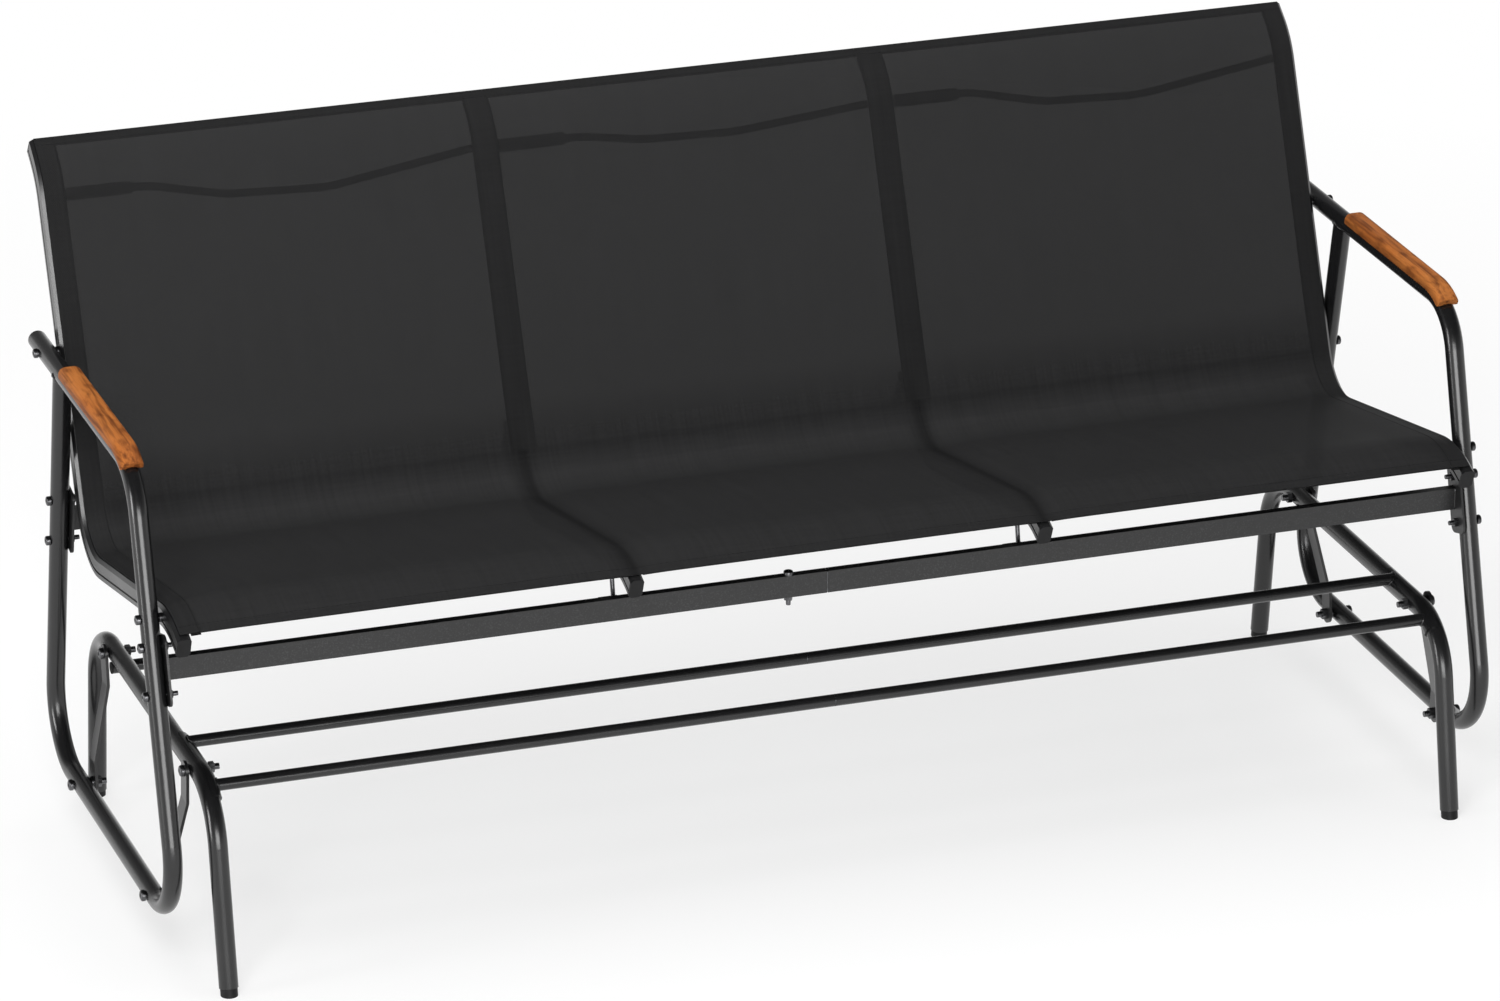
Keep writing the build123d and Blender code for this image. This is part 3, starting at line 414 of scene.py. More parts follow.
def moulded_plastic(name, colour):
    """Black plastic with a fine spark-eroded grain and faint bloom."""
    material, tree, shader = blank_material(name)
    place = lay_node(tree, "TexCoord").outputs["Object"]
    pit = grain(tree, place, scale=1800.0, detail=2.0)
    bloom = grain(tree, place, scale=60.0, detail=3.0)
    pale = tuple(2.2 * part for part in colour[:3]) + (1.0,)
    tone = blend_colours(tree, spread(tree, bloom, (0.4, 0.75), (0.0, 0.7)), tuple(colour), pale)
    tree.links.new(tone, shader.inputs["Base Color"])
    tree.links.new(spread(tree, bloom, (0.3, 0.7), (0.42, 0.55)), shader.inputs["Roughness"])
    shader.inputs["Specular IOR Level"].default_value = 0.2
    raise_bump(tree, shader, pit, strength=0.2, depth=0.0002)
    return material


def oiled_wood(name, settings):
    """Hardwood with grain along the armrest, dark growth lines, patches, open pores and painted shade on
    its sides.
    """
    material, tree, shader = blank_material(name)
    place = lay_node(tree, "TexCoord").outputs["Object"]
    drift = grain(tree, place, scale=9.0, detail=2.0)
    sway = lay_node(tree, "TexNoise", {"Vector": place, "Scale": 12.0, "Detail": 2.0}).outputs["Color"]
    path = lay_node(tree, "Mix", {0: 0.005, 4: place, 5: sway}, data_type="VECTOR").outputs[1]
    rings = grain(tree, path, scale=150.0, detail=3.0, stretch=(1.0, 0.05, 1.0))
    fibre = grain(tree, path, scale=420.0, detail=4.0, stretch=(1.0, 0.03, 1.0))
    pores = grain(tree, path, scale=800.0, detail=2.0, stretch=(1.0, 0.06, 1.0))
    patch = grain(tree, place, scale=75.0, detail=5.0, stretch=(1.0, 0.4, 1.0))
    body, pale, dark = tuple(settings.body), tuple(settings.pale), tuple(settings.dark)
    early = blend_colours(tree, spread(tree, drift, (0.35, 0.65), (0.0, 1.0)), body, pale)
    lined = blend_colours(tree, spread(tree, rings, (0.50, 0.66), (0.0, 0.75)), early, dark)
    fine = blend_colours(tree, spread(tree, fibre, (0.5, 0.75), (0.0, 0.5)), lined, dark)
    mottled = blend_colours(tree, spread(tree, patch, (0.52, 0.68), (0.0, 0.6)), fine, dark)
    # Painted shade: the pad's sides, where its normal points across the bench, are darkened towards the
    # dark wood tone
    normal = lay_node(tree, "NewGeometry").outputs["Normal"]
    aside = reckon(tree, "ABSOLUTE", lay_node(tree, "SeparateXYZ", {"Vector": normal}).outputs["X"])
    shaded_sides = blend_colours(tree, spread(tree, aside, (0.72, 0.97), (0.0, 0.3)), mottled, dark)
    tree.links.new(shaded_sides, shader.inputs["Base Color"])
    tree.links.new(spread(tree, pores, (0.3, 0.7), (0.46, 0.62)), shader.inputs["Roughness"])
    shader.inputs["Specular IOR Level"].default_value = 0.07
    raise_bump(tree, shader, pores, strength=0.3, depth=0.0003)
    return material


def over_rails(tree, axes, settings, half_width, rail, band):
    """Brightness and closeness of the sling's weave.

    It is doubled at hems and pockets, where it lets no light through and is darkened as painted shade; a
    painted shade line runs over each middle rail on the seat, and a painted highlight lies in the crease.
    """
    run = axes["Y"]
    from_middle = reckon(tree, "ABSOLUTE", reckon(tree, "SUBTRACT", axes["X"], half_width))
    from_rail = reckon(tree, "ABSOLUTE", reckon(tree, "SUBTRACT", from_middle, rail))
    pocket_end = settings.pocket_run
    on_back = spread(tree, run, (pocket_end - 2 * SOFT_EDGE, pocket_end + 2 * SOFT_EDGE), (1.0, 0.0))
    banded = spread(tree, from_rail, (band, band + SOFT_EDGE), (1.0, 0.0))
    pocket = reckon(tree, "MULTIPLY", banded, on_back)
    hem_edge = half_width - settings.side_hem
    side_hem = spread(tree, from_middle, (hem_edge - SOFT_EDGE, hem_edge), (0.0, 1.0))
    top_hem = spread(tree, run, (settings.top_hem, settings.top_hem + SOFT_EDGE), (1.0, 0.0))
    doubled = reckon(tree, "MAXIMUM", pocket, reckon(tree, "MAXIMUM", side_hem, top_hem))
    # Painted shade: a dark line along each middle rail of the seat, standing in for the rail's shade seen
    # through the mesh
    near_rail = reckon(tree, "POWER", spread(tree, from_rail, (0.0, RAIL_SHADE_REACH), (1.0, 0.0)), 2.0)
    rail_shade = reckon(tree, "MULTIPLY", near_rail, reckon(tree, "SUBTRACT", 1.0, on_back))
    # Painted highlight: a paler band across the crease
    into_crease = spread(tree, run, CREASE_STARTS, (0.0, 1.0))
    crease = reckon(tree, "MULTIPLY", into_crease, spread(tree, run, CREASE_ENDS, (1.0, 0.0)))
    # Painted shade where the cloth is doubled, on top of its closing there; then the painted rail line and
    # the painted crease highlight
    shade = spread(tree, doubled, (0.0, 1.0), (1.0, DOUBLED_SHADE_TONE))
    shade = reckon(tree, "MULTIPLY", shade, spread(tree, rail_shade, (0.0, 1.0), (1.0, RAIL_SHADE_TONE)))
    shade = reckon(tree, "MULTIPLY", shade, spread(tree, crease, (0.0, 1.0), (1.0, CREASE_HIGHLIGHT_TONE)))
    closing = spread(tree, run, (SEAT_BEGINS, CREASE_STARTS[0]), (settings.back_cover, settings.seat_cover))
    return shade, reckon(tree, "MAXIMUM", closing, doubled)


def woven_mesh(name, colour, sheet=None):
    """Plain weave of coated yarn, on the piece's own map in metres.

    sheet holds the sling's settings, half its width, the place of a middle rail and half the band there.
    """
    material, tree, shader = blank_material(name)
    cloth = lay_node(tree, "UVMap", uv_map="cloth").outputs["UV"]
    pick = 1.0 / WEAVE_PITCH
    weave = lay_node(tree, "TexChecker", {"Vector": cloth, "Scale": pick}).outputs["Fac"]
    axes = lay_node(tree, "SeparateXYZ", {"Vector": cloth}).outputs
    ribs = []
    for axis in ("X", "Y"):
        wave = reckon(tree, "SINE", reckon(tree, "MULTIPLY", axes[axis], math.pi * pick))
        ribs.append(reckon(tree, "ABSOLUTE", wave))
    height = lay_node(tree, "Mix", {0: weave, 2: ribs[0], 3: ribs[1]}, data_type="FLOAT").outputs[0]
    streak = grain(tree, cloth, scale=1.0, detail=3.0, stretch=(260.0, 5.0, 1.0))
    slub = grain(tree, cloth, scale=1.0, detail=2.0, stretch=(16.0, 300.0, 1.0))
    shade = spread(tree, streak, (0.3, 0.7), (0.91, 1.09))
    cross = spread(tree, slub, (0.3, 0.7), (0.94, 1.06))
    # Painted shade and highlight of the weave: darker in its hollows and at the yarns' edges, paler on
    # their crowns
    depth = spread(tree, height, (0.0, 1.0), (0.7, 1.15))
    value = reckon(tree, "MULTIPLY", reckon(tree, "MULTIPLY", shade, cross), depth)
    if sheet:
        # The yarn's tone takes the painted shade and highlight of the hems, pockets, rail lines and crease
        painted_light_and_shade, cover = over_rails(tree, axes, *sheet)
        value = reckon(tree, "MULTIPLY", value, painted_light_and_shade)
        tree.links.new(cover, shader.inputs["Alpha"])
    tint = lay_node(tree, "HueSaturation", {"Color": tuple(colour), "Value": value}).outputs["Color"]
    tree.links.new(tint, shader.inputs["Base Color"])
    tree.links.new(spread(tree, height, (0.0, 1.0), (0.75, 0.6)), shader.inputs["Roughness"])
    shader.inputs["Specular IOR Level"].default_value = 0.05
    raise_bump(tree, shader, height, strength=0.35, depth=0.0004)
    return material


def spun_thread(name, colour):
    """Twisted sewing thread: fine dark turns along a matt body."""
    material, tree, shader = blank_material(name)
    place = lay_node(tree, "TexCoord").outputs["Object"]
    twist = grain(tree, place, scale=2600.0, detail=1.0)
    pale = tuple(1.7 * part for part in colour[:3]) + (1.0,)
    tone = blend_colours(tree, spread(tree, twist, (0.35, 0.65), (0.0, 1.0)), tuple(colour), pale)
    tree.links.new(tone, shader.inputs["Base Color"])
    shader.inputs["Roughness"].default_value = 0.7
    shader.inputs["Specular IOR Level"].default_value = 0.1
    raise_bump(tree, shader, twist, strength=0.2, depth=0.0001)
    return material


def dress(node_names, material):
    """Give CAD nodes a finish."""
    for name in node_names:
        slots = frame["nodes"][name].data.materials
        slots.clear()
        slots.append(material)


def nodes_of_slot(slot):
    """Names of the CAD nodes that take a material slot of the record."""
    return [part["node"] for part in frame["record"]["subparts"] if part["material_slot"] == slot]


def sling_profile(step):
    """Points and rear-facing normals along the sling's line, with the length run at each."""
    corners = [Vector(corner) for corner in SLING_CORNERS]
    lip = (corners[3] - corners[4]).normalized()
    corners[4] = corners[4] + lip * SLING_SHORT
    stretches = []
    here = corners[0]
    for before, corner, after, bend in zip(corners, corners[1:], corners[2:], SLING_BENDS):
        aim, onward = (corner - before).normalized(), (after - corner).normalized()
        turn = math.atan2(aim.x * onward.y - aim.y * onward.x, aim.dot(onward))
        tangent = bend * math.tan(abs(turn) / 2)
        stretches.append((here, aim, (corner - here).length - tangent, 0.0))
        stretches.append((corner - aim * tangent, aim, bend * abs(turn), math.copysign(1 / bend, turn)))
        here = corner + onward * tangent
    stretches.append((here, (corners[4] - here).normalized(), (corners[4] - here).length, 0.0))
    points = []
    run = 0.0
    for start, aim, length, curve in stretches:
        count = max(2, round(length / (step if curve == 0 else step / 2)))
        first = 0 if not points else 1
        for index in range(first, count + 1):
            along = length * index / count
            side = Vector((-aim.y, aim.x))
            if curve == 0:
                spot, heading = start + aim * along, aim
            else:
                angle = along * curve
                spot = start + (aim * math.sin(angle) + side * (1 - math.cos(angle))) / curve
                heading = aim * math.cos(angle) + side * math.sin(angle)
            points.append((spot, Vector((-heading.y, heading.x)), run + along))
        run += length
    return points


def middle_of(node):
    """Middle of a CAD node's box."""
    return [(low + high) / 2 for low, high in zip(*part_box(node))]


def strip_mesh(name, columns, rows, depth_at, material):
    """Sheet over columns of x and rows of the sling's profile, with its own map in metres.

    depth_at gives how far a point lies behind the sling's face.
    """
    vertices = []
    for spot, normal, run in rows:
        for x in columns:
            place = spot + normal * depth_at(x, run)
            vertices.append((x, place.x, place.y))
    wide = len(columns)
    faces = []
    for row in range(len(rows) - 1):
        for column in range(wide - 1):
            first = row * wide + column
            faces.append((first, first + wide, first + wide + 1, first + 1))
    piece = new_piece(name, vertices, [], faces, material)
    mesh = piece.data
    cloth = mesh.uv_layers.new(name="cloth")
    for loop in mesh.loops:
        row, column = divmod(loop.vertex_index, wide)
        cloth.data[loop.index].uv = (columns[column] - columns[0], rows[row][2])
    mesh.polygons.foreach_set("use_smooth", [True] * len(mesh.polygons))
    return piece


def new_piece(name, vertices, edges, faces, material):
    """Object from points, edges and faces, in one finish."""
    mesh = bpy.data.meshes.new(name)
    mesh.from_pydata(vertices, edges, faces)
    mesh.materials.append(material)
    piece = bpy.data.objects.new(name, mesh)
    bpy.context.collection.objects.link(piece)
    return piece


def face_outwards(piece, merge=False):
    """Turn a piece's faces outwards, with its doubles merged first if asked."""
    select_only(piece)
    bpy.ops.object.mode_set(mode="EDIT")
    bpy.ops.mesh.select_all(action="SELECT")
    if merge:
        bpy.ops.mesh.remove_doubles(threshold=MERGE_DISTANCE)
    bpy.ops.mesh.normals_make_consistent(inside=False)
    bpy.ops.object.mode_set(mode="OBJECT")


def thicken(piece, thickness):
    """Give a sheet its thickness, away from the sitter."""
    wall = piece.modifiers.new("thickness", "SOLIDIFY")
    wall.thickness = thickness
    wall.offset = -1.0
    wall.use_even_offset = True
    select_only(piece)
    bpy.ops.object.modifier_apply(modifier=wall.name)


def stitch_line(name, places, length, material):
    """Row of stitches: slim six-sided beads at places given as point, heading and face normal."""
    vertices, faces = [], []
    for spot, heading, normal in places:
        side = heading.cross(normal)
        base = len(vertices)
        vertices.append(spot - heading * length / 2)
        for along in (-STITCH_SHOULDER, STITCH_SHOULDER):
            for corner in range(6):
                turn = corner * math.pi / 3
                out = side * math.cos(turn) + normal * math.sin(turn)
                vertices.append(spot + heading * length * along + out * THREAD_RADIUS)
        vertices.append(spot + heading * length / 2)
        for corner in range(6):
            after = (corner + 1) % 6
            first, second = base + 1 + corner, base + 1 + after
            faces.append((base, first, second))
            faces.append((first, first + 6, second + 6, second))
            faces.append((first + 6, base + 13, second + 6))
    piece = new_piece(name, vertices, [], faces, material)
    face_outwards(piece)
    bpy.ops.object.shade_smooth()
    return piece


def select_only(piece):
    """Make a piece the only one selected."""
    bpy.ops.object.select_all(action="DESELECT")
    piece.select_set(True)
    bpy.context.view_layer.objects.active = piece


def copies_at(model, places, body):
    """Copy a model that stands on z = 0 to places of name, point and direction, then drop the model."""
    for name, spot, way in places:
        mesh = model.data.copy()
        mesh.name = name
        mesh.transform(Matrix.Translation(spot) @ Vector(way).to_track_quat("Z", "Y").to_matrix().to_4x4())
        piece = bpy.data.objects.new(name, mesh)
        bpy.context.collection.objects.link(piece)
        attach(piece, body)
    bpy.data.objects.remove(model)


def both_sides(name, spots, x, inwards=False):
    """Names, points and directions of one fastener after another, on the right side and on the left."""
    places = []
    for index, (y, z) in enumerate(spots):
        for side, sign in (("right", 1), ("left", -1)):
            way = (-sign if inwards else sign, 0, 0)
            places.append((f"{name}_{side}_{index + 1}", (sign * x, y, z), way))
    return places


def even_steps(start, stop, step):
    """Evenly spaced values from start to stop, about a step apart."""
    count = max(1, round((stop - start) / step))
    return [start + (stop - start) * index / count for index in range(count + 1)]


class GLIDER_OT_finish_steel(bpy.types.Operator):
    """Powder-coats the tubes, rails, plates and links"""

    bl_idname = "glider.finish_steel"
    bl_label = "Finish steel"

    def execute(self, context):
        coat = context.scene.glider_coat
        smooth = powder_coat("charcoal_powder_coat", coat, grit=0.25, rough=(0.21, 0.27))
        dress(nodes_of_slot("charcoal_coat"), smooth)
        matt = powder_coat("link_powder_coat", coat, grit=0.25, rough=(0.27, 0.34))
        dress(nodes_of_slot("link_coat"), matt)
        beams = [name for name in frame["nodes"] if name.startswith(("front_beam", "rear_beam"))]
        dress(beams, powder_coat("sandy_powder_coat", coat, grit=1.0, rough=(0.34, 0.44), flecks=520.0))
        dress(RAILS, powder_coat("rail_powder_coat", coat, grit=0.25, rough=(0.28, 0.34)))
        dress(nodes_of_slot("bare_steel"), plated_steel("drawn_steel", coat.steel, rough=(0.3, 0.5)))
        return {"FINISHED"}


class GLIDER_OT_finish_fittings(bpy.types.Operator):
    """Plates the fasteners and colours the plastic caps, plugs and feet"""

    bl_idname = "glider.finish_fittings"
    bl_label = "Finish fittings"

    def execute(self, context):
        coat = context.scene.glider_coat
        plating = plated_steel("black_zinc_plating", coat.black_zinc, rough=(0.25, 0.4))
        dress(nodes_of_slot("black_zinc"), plating)
        dress(nodes_of_slot("black_plastic"), moulded_plastic("black_plastic", coat.plastic))
        return {"FINISHED"}


class GLIDER_OT_finish_wood(bpy.types.Operator):
    """Shapes and oils the wooden armrest pads"""

    bl_idname = "glider.finish_wood"
    bl_label = "Finish wood"

    def execute(self, context):
        wood = oiled_wood("oiled_wood", context.scene.glider_wood)
        for node in nodes_of_slot("oiled_wood"):
            pad = self.moulding(node, node.replace("pad", "moulding"))
            pad.data.materials.append(wood)
            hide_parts(node)
            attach(pad, SEAT)
        return {"FINISHED"}

    def section(self, half, crown):
        """Outline of a pad across the tube, from its axis: rounded above, hollowed below."""
        outline = []
        for centre, first in ((half - PAD_ROUND, 0.0), (PAD_ROUND - half, math.pi / 2)):
            for turn in even_steps(first, first + math.pi / 2, math.pi / 16):
                across = centre + PAD_ROUND * math.cos(turn)
                outline.append((across, crown + PAD_ROUND * (math.sin(turn) - 1)))
        outline.append((-half, PAD_UNDER))
        lip = math.asin(PAD_UNDER / PAD_HOLLOW)
        for turn in reversed(even_steps(lip, math.pi - lip, math.pi / 20)):
            outline.append((PAD_HOLLOW * math.cos(turn), PAD_HOLLOW * math.sin(turn)))
        outline.append((half, PAD_UNDER))
        return outline

    def moulding(self, node, name):
        """Rounded slat along the top of the armrest tube, bent with it at the front."""
        low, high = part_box(node)
        middle, rear = (low[0] + high[0]) / 2, high[1]
        bend_y, bend_z = ARM_BEND_CENTRE
        axis_z = bend_z + ARM_BEND
        outline = self.section((high[0] - low[0]) / 2, high[2] - axis_z)
        bpy.ops.object.select_all(action="DESELECT")
        bpy.ops.mesh.primitive_circle_add(vertices=len(outline), fill_type="NGON", location=(0, 0, 0))
        pad = bpy.context.active_object
        pad.name = pad.data.name = name
        for corner, (across, rise) in zip(pad.data.vertices, outline):
            corner.co = (middle + across, rear, axis_z + rise)
        bpy.ops.object.mode_set(mode="EDIT")
        bpy.ops.mesh.select_all(action="SELECT")
        bpy.ops.mesh.extrude_region_move(TRANSFORM_OT_translate={"value": (0, bend_y - rear, 0)})
        bpy.ops.mesh.spin(steps=12, angle=-PAD_TURN, center=(middle, bend_y, bend_z), axis=(1, 0, 0))
        bpy.ops.mesh.select_all(action="SELECT")
        bpy.ops.mesh.remove_doubles(threshold=MERGE_DISTANCE)
        bpy.ops.mesh.normals_make_consistent(inside=False)
        bpy.ops.mesh.select_mode(type="EDGE")
        bpy.ops.mesh.select_all(action="DESELECT")
        shape = bmesh.from_edit_mesh(pad.data)
        for face in shape.faces:
            if len(face.verts) == len(outline):
                for edge in face.edges:
                    edge.select_set(True)
        bmesh.update_edit_mesh(pad.data)
        bpy.ops.mesh.bevel(offset=PAD_END_ROUND, segments=4, affect="EDGES")
        bpy.ops.mesh.select_mode(type="VERT")
        bpy.ops.object.mode_set(mode="OBJECT")
        bpy.ops.object.shade_smooth_by_angle(angle=math.radians(35))
        return pad


class GLIDER_OT_cap_bolts(bpy.types.Operator):
    """Gives the frame, bracket, splice and pivot bolts domed heads with hexagon sockets"""

    bl_idname = "glider.cap_bolts"
    bl_label = "Cap bolts"

    def execute(self, context):
        plating = bpy.data.materials["black_zinc_plating"]
        frame_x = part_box("side_frame_right")[1][0]
        spots = both_sides("plate_bolt_head", PLATE_BOLTS, frame_x)
        spots += both_sides("rail_bolt_head", RAIL_BOLTS, frame_x)
        for side in ("left", "right"):
            leaf_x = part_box(f"sling_rail_middle_{side}")[0][0] - BRACKET_LEAF
            spots.append((f"bracket_bolt_head_{side}", (leaf_x, *BRACKET_BOLT), (-1, 0, 0)))
        middle = middle_of("splice_bolt")
        beam_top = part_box("front_beam_left")[1][2]
        spots.append(("splice_bolt_head", (middle[0], middle[1], beam_top), (0, 0, 1)))
        copies_at(self.domed_head("small_head", plating, **SMALL_HEAD), spots, SEAT)
        lower = both_sides("lower_pivot_head", LOWER_PIVOTS, frame_x)
        copies_at(self.domed_head("large_head", plating, **LARGE_HEAD), lower, SEAT)
        upper_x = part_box("upper_pivot_bolts")[1][0] - PIVOT_HEAD_IN
        upper = both_sides("upper_pivot_head", UPPER_PIVOTS, upper_x)
        copies_at(self.domed_head("large_head", plating, **LARGE_HEAD), upper, BASE)
        return {"FINISHED"}

    def domed_head(self, name, material, across, wall, rise, socket):
        """Round head on z = 0: a short wall, a dome in three steps and a hexagon socket."""
        bpy.ops.object.select_all(action="DESELECT")
        bpy.ops.mesh.primitive_cylinder_add(
            vertices=24, radius=across / 2, depth=wall, location=(0, 0, wall / 2),
        )
        head = bpy.context.active_object
        head.name = name
        bpy.ops.object.transform_apply(location=True, rotation=False, scale=False)
        bpy.ops.object.mode_set(mode="EDIT")
        shape = bmesh.from_edit_mesh(head.data)
        for face in shape.faces:
            face.select_set(face.normal.z > 0.9)
        bmesh.update_edit_mesh(head.data)
        room = across / 2 - socket / 2 - SOCKET_RIM
        for share, lift in DOME_STEPS:
            bpy.ops.mesh.inset(thickness=room * share, depth=0.0)
            bpy.ops.transform.translate(value=(0, 0, rise * lift))
        shape = bmesh.from_edit_mesh(head.data)
        rim = next(face for face in shape.faces if face.select)
        for corner in rim.verts:
            angle = math.atan2(corner.co.y, corner.co.x)
            reach = socket / 2 / math.cos((angle + math.pi / 6) % (math.pi / 3) - math.pi / 6)
            corner.co.x, corner.co.y = reach * math.cos(angle), reach * math.sin(angle)
        bmesh.update_edit_mesh(head.data)
        bpy.ops.mesh.extrude_region_move(TRANSFORM_OT_translate={"value": (0, 0, -SOCKET_DEPTH * wall)})
        bpy.ops.object.mode_set(mode="OBJECT")
        bpy.ops.object.shade_smooth_by_angle(angle=math.radians(38))
        head.data.materials.append(material)
        return head


class GLIDER_OT_cut_threads(bpy.types.Operator):
    """Cuts screw threads on the ends of the plate, splice and pivot bolts"""

    bl_idname = "glider.cut_threads"
    bl_label = "Cut threads"

    def execute(self, context):
        plating = bpy.data.materials["black_zinc_plating"]
        plate_x = self.inner_face("frame_nuts")
        spots = both_sides("plate_bolt_thread", PLATE_BOLTS, plate_x, inwards=True)
        middle = middle_of("splice_nut")
        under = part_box("splice_nut")[0][2]
        spots.append(("splice_bolt_thread", (middle[0], middle[1], under), (0, 0, -1)))
        copies_at(self.thread("small_thread", plating, **SMALL_THREAD), spots, SEAT)
        lower_x = self.inner_face("lower_pivot_nuts")
        lower = both_sides("lower_pivot_thread", LOWER_PIVOTS, lower_x, inwards=True)
        copies_at(self.thread("large_thread", plating, **LARGE_THREAD), lower, SEAT)
        for name, spot in zip(("fore_pivot_thread", "rear_pivot_thread"), UPPER_PIVOTS):
            upper_x = self.inner_face("upper_pivot_nuts", spot[0])
            upper = both_sides(name, [spot], upper_x, inwards=True)
            copies_at(self.thread("large_thread", plating, **LARGE_THREAD), upper, BASE)
        return {"FINISHED"}

    def inner_face(self, nuts, y=None):
        """Distance from the bench's middle to the inner face of its nuts, or of those near one y."""
        corners = [corner.co for corner in frame["nodes"][nuts].data.vertices]
        return min(abs(corner.x) for corner in corners if y is None or abs(corner.y - y) < NUT_REACH)

    def thread(self, name, material, diameter, pitch, turns):
        """Thread from z = 0 upwards: one tooth carried round a shank by a screw."""
        root, crest = diameter / 2 - THREAD_ROOT, diameter / 2 + THREAD_CREST
        tooth = [(root, 0, 0), (crest, 0, pitch / 2), (root, 0, pitch)]
        ridge = new_piece(name, tooth, [(0, 1), (1, 2)], [], material)
        screw = ridge.modifiers.new("screw", "SCREW")
        screw.axis = "Z"
        screw.angle = 2 * math.pi
        screw.screw_offset = pitch
        screw.iterations = turns
        screw.steps = screw.render_steps = 14
        select_only(ridge)
        bpy.ops.object.modifier_apply(modifier=screw.name)
        face_outwards(ridge, merge=True)
        return ridge


class GLIDER_OT_lay_welds(bpy.types.Operator):
    """Lays rippled weld beads where tubes meet rails, plates and each other"""

    bl_idname = "glider.lay_welds"
    bl_label = "Lay welds"

    def execute(self, context):
        along, back, up = Vector((1, 0, 0)), Vector((0, 1, 0)), Vector((0, 0, 1))
        standing, lying = (back, up, along), (along, back, up)
        for side, sign in (("right", 1), ("left", -1)):
            for name, *saddle in STRETCHERS:
                path = self.on_saddle(sign, *saddle)
                label = f"{name}_stretcher_weld_{side}"
                self.bead(label, path, STRETCHER_RADIUS, STRETCHER_BEAD, standing, BASE)
            for name, spot in BEAMS:
                path = self.on_plate(sign, spot)
                self.bead(f"{name}_beam_weld_{side}", path, BEAM_RING, BEAM_BEAD, standing, SEAT)
            path = self.under_armrest(sign)
            self.bead(f"rear_upright_weld_{side}", path, TUBE_RADIUS, UPRIGHT_BEAD, lying, SEAT)
        for bay, (left, right) in enumerate(zip(RAILS, RAILS[1:])):
            sleeve = ("left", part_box(left)[1][0], SLEEVE_RADIUS)
            bar = ("right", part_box(right)[0][0], SPREADER_RADIUS)
            for end, x, size in (sleeve, bar):
                path = self.on_rail(x, size)
                self.bead(f"spreader_weld_{end}_{bay + 1}", path, size, SPREADER_BEAD, standing, SEAT)
        return {"FINISHED"}

    def on_saddle(self, sign, spot, axis_z, slope):
        """Path round a stretcher on the rounded side of a saddle."""
        arch_x = middle_of("base_arch_right")[0]

        def path(turn):
            y, z = STRETCHER_RADIUS * math.cos(turn), STRETCHER_RADIUS * math.sin(turn)
            off = (spot[1] + z - axis_z) * math.cos(slope) - y * math.sin(slope)
            deep = math.sqrt(max(SADDLE_RADIUS * SADDLE_RADIUS - off * off, SADDLE_DEPTH ** 2))
            return Vector((sign * (arch_x - deep), spot[0] + y, spot[1] + z))

        return path

    def on_plate(self, sign, spot):
        """Path round a beam's rectangle, with soft corners, on its end plate."""
        plate_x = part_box("front_beam_plate_right")[0][0]

        def path(turn):
            across, rise = math.cos(turn), math.sin(turn)
            y = BEAM_HALF[0] * math.copysign(abs(across) ** BEAM_SQUARENESS, across)
            z = BEAM_HALF[1] * math.copysign(abs(rise) ** BEAM_SQUARENESS, rise)
            return Vector((sign * plate_x, spot[0] + y, spot[1] + z))

        return path

    def under_armrest(self, sign):
        """Path round a rear upright where its top meets the underside of the armrest tube."""
        frame_x = middle_of("side_frame_right")[0]
        top_y, top_z = REAR_UPRIGHT_TOP

        def path(turn):
            x, y = TUBE_RADIUS * math.cos(turn), TUBE_RADIUS * math.sin(turn)
            drop = math.sqrt(max(TUBE_RADIUS * TUBE_RADIUS - x * x, 0.0))
            return Vector((sign * frame_x + x, top_y + y + drop * REAR_UPRIGHT_LEAN, top_z - drop))

        return path

    def on_rail(self, x, size):
        """Path round an end of a spreader bar on the side of a rail."""
        def path(turn):
            y, z = size * math.cos(turn), size * math.sin(turn)
            return Vector((x, SPREADER[0] + y, SPREADER[1] + z))

        return path

    def bead(self, name, path, around, wire, axes, body):
        """Ring of weld metal: a rippled torus carried onto a closed path.

        axes holds the two directions of the ring's plane and the one across it.
        """
        bpy.ops.object.select_all(action="DESELECT")
        bpy.ops.mesh.primitive_torus_add(
            major_radius=around, minor_radius=wire, major_segments=64, minor_segments=8, location=(0, 0, 0),
        )
        ring = bpy.context.active_object
        ring.name = ring.data.name = name
        ripples = round(around * 2 * math.pi / RIPPLE)
        for corner in ring.data.vertices:
            turn = math.atan2(corner.co.y, corner.co.x)
            swell = 1 + RIPPLE_HEIGHT * math.sin(ripples * turn)
            out = (math.hypot(corner.co.x, corner.co.y) - around) * swell
            lift = corner.co.z * swell
            radial = axes[0] * math.cos(turn) + axes[1] * math.sin(turn)
            corner.co = path(turn) + radial * out + axes[2] * lift
        face_outwards(ring)
        bpy.ops.object.shade_smooth()
        ring.data.materials.append(bpy.data.materials["charcoal_powder_coat"])
        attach(ring, body)


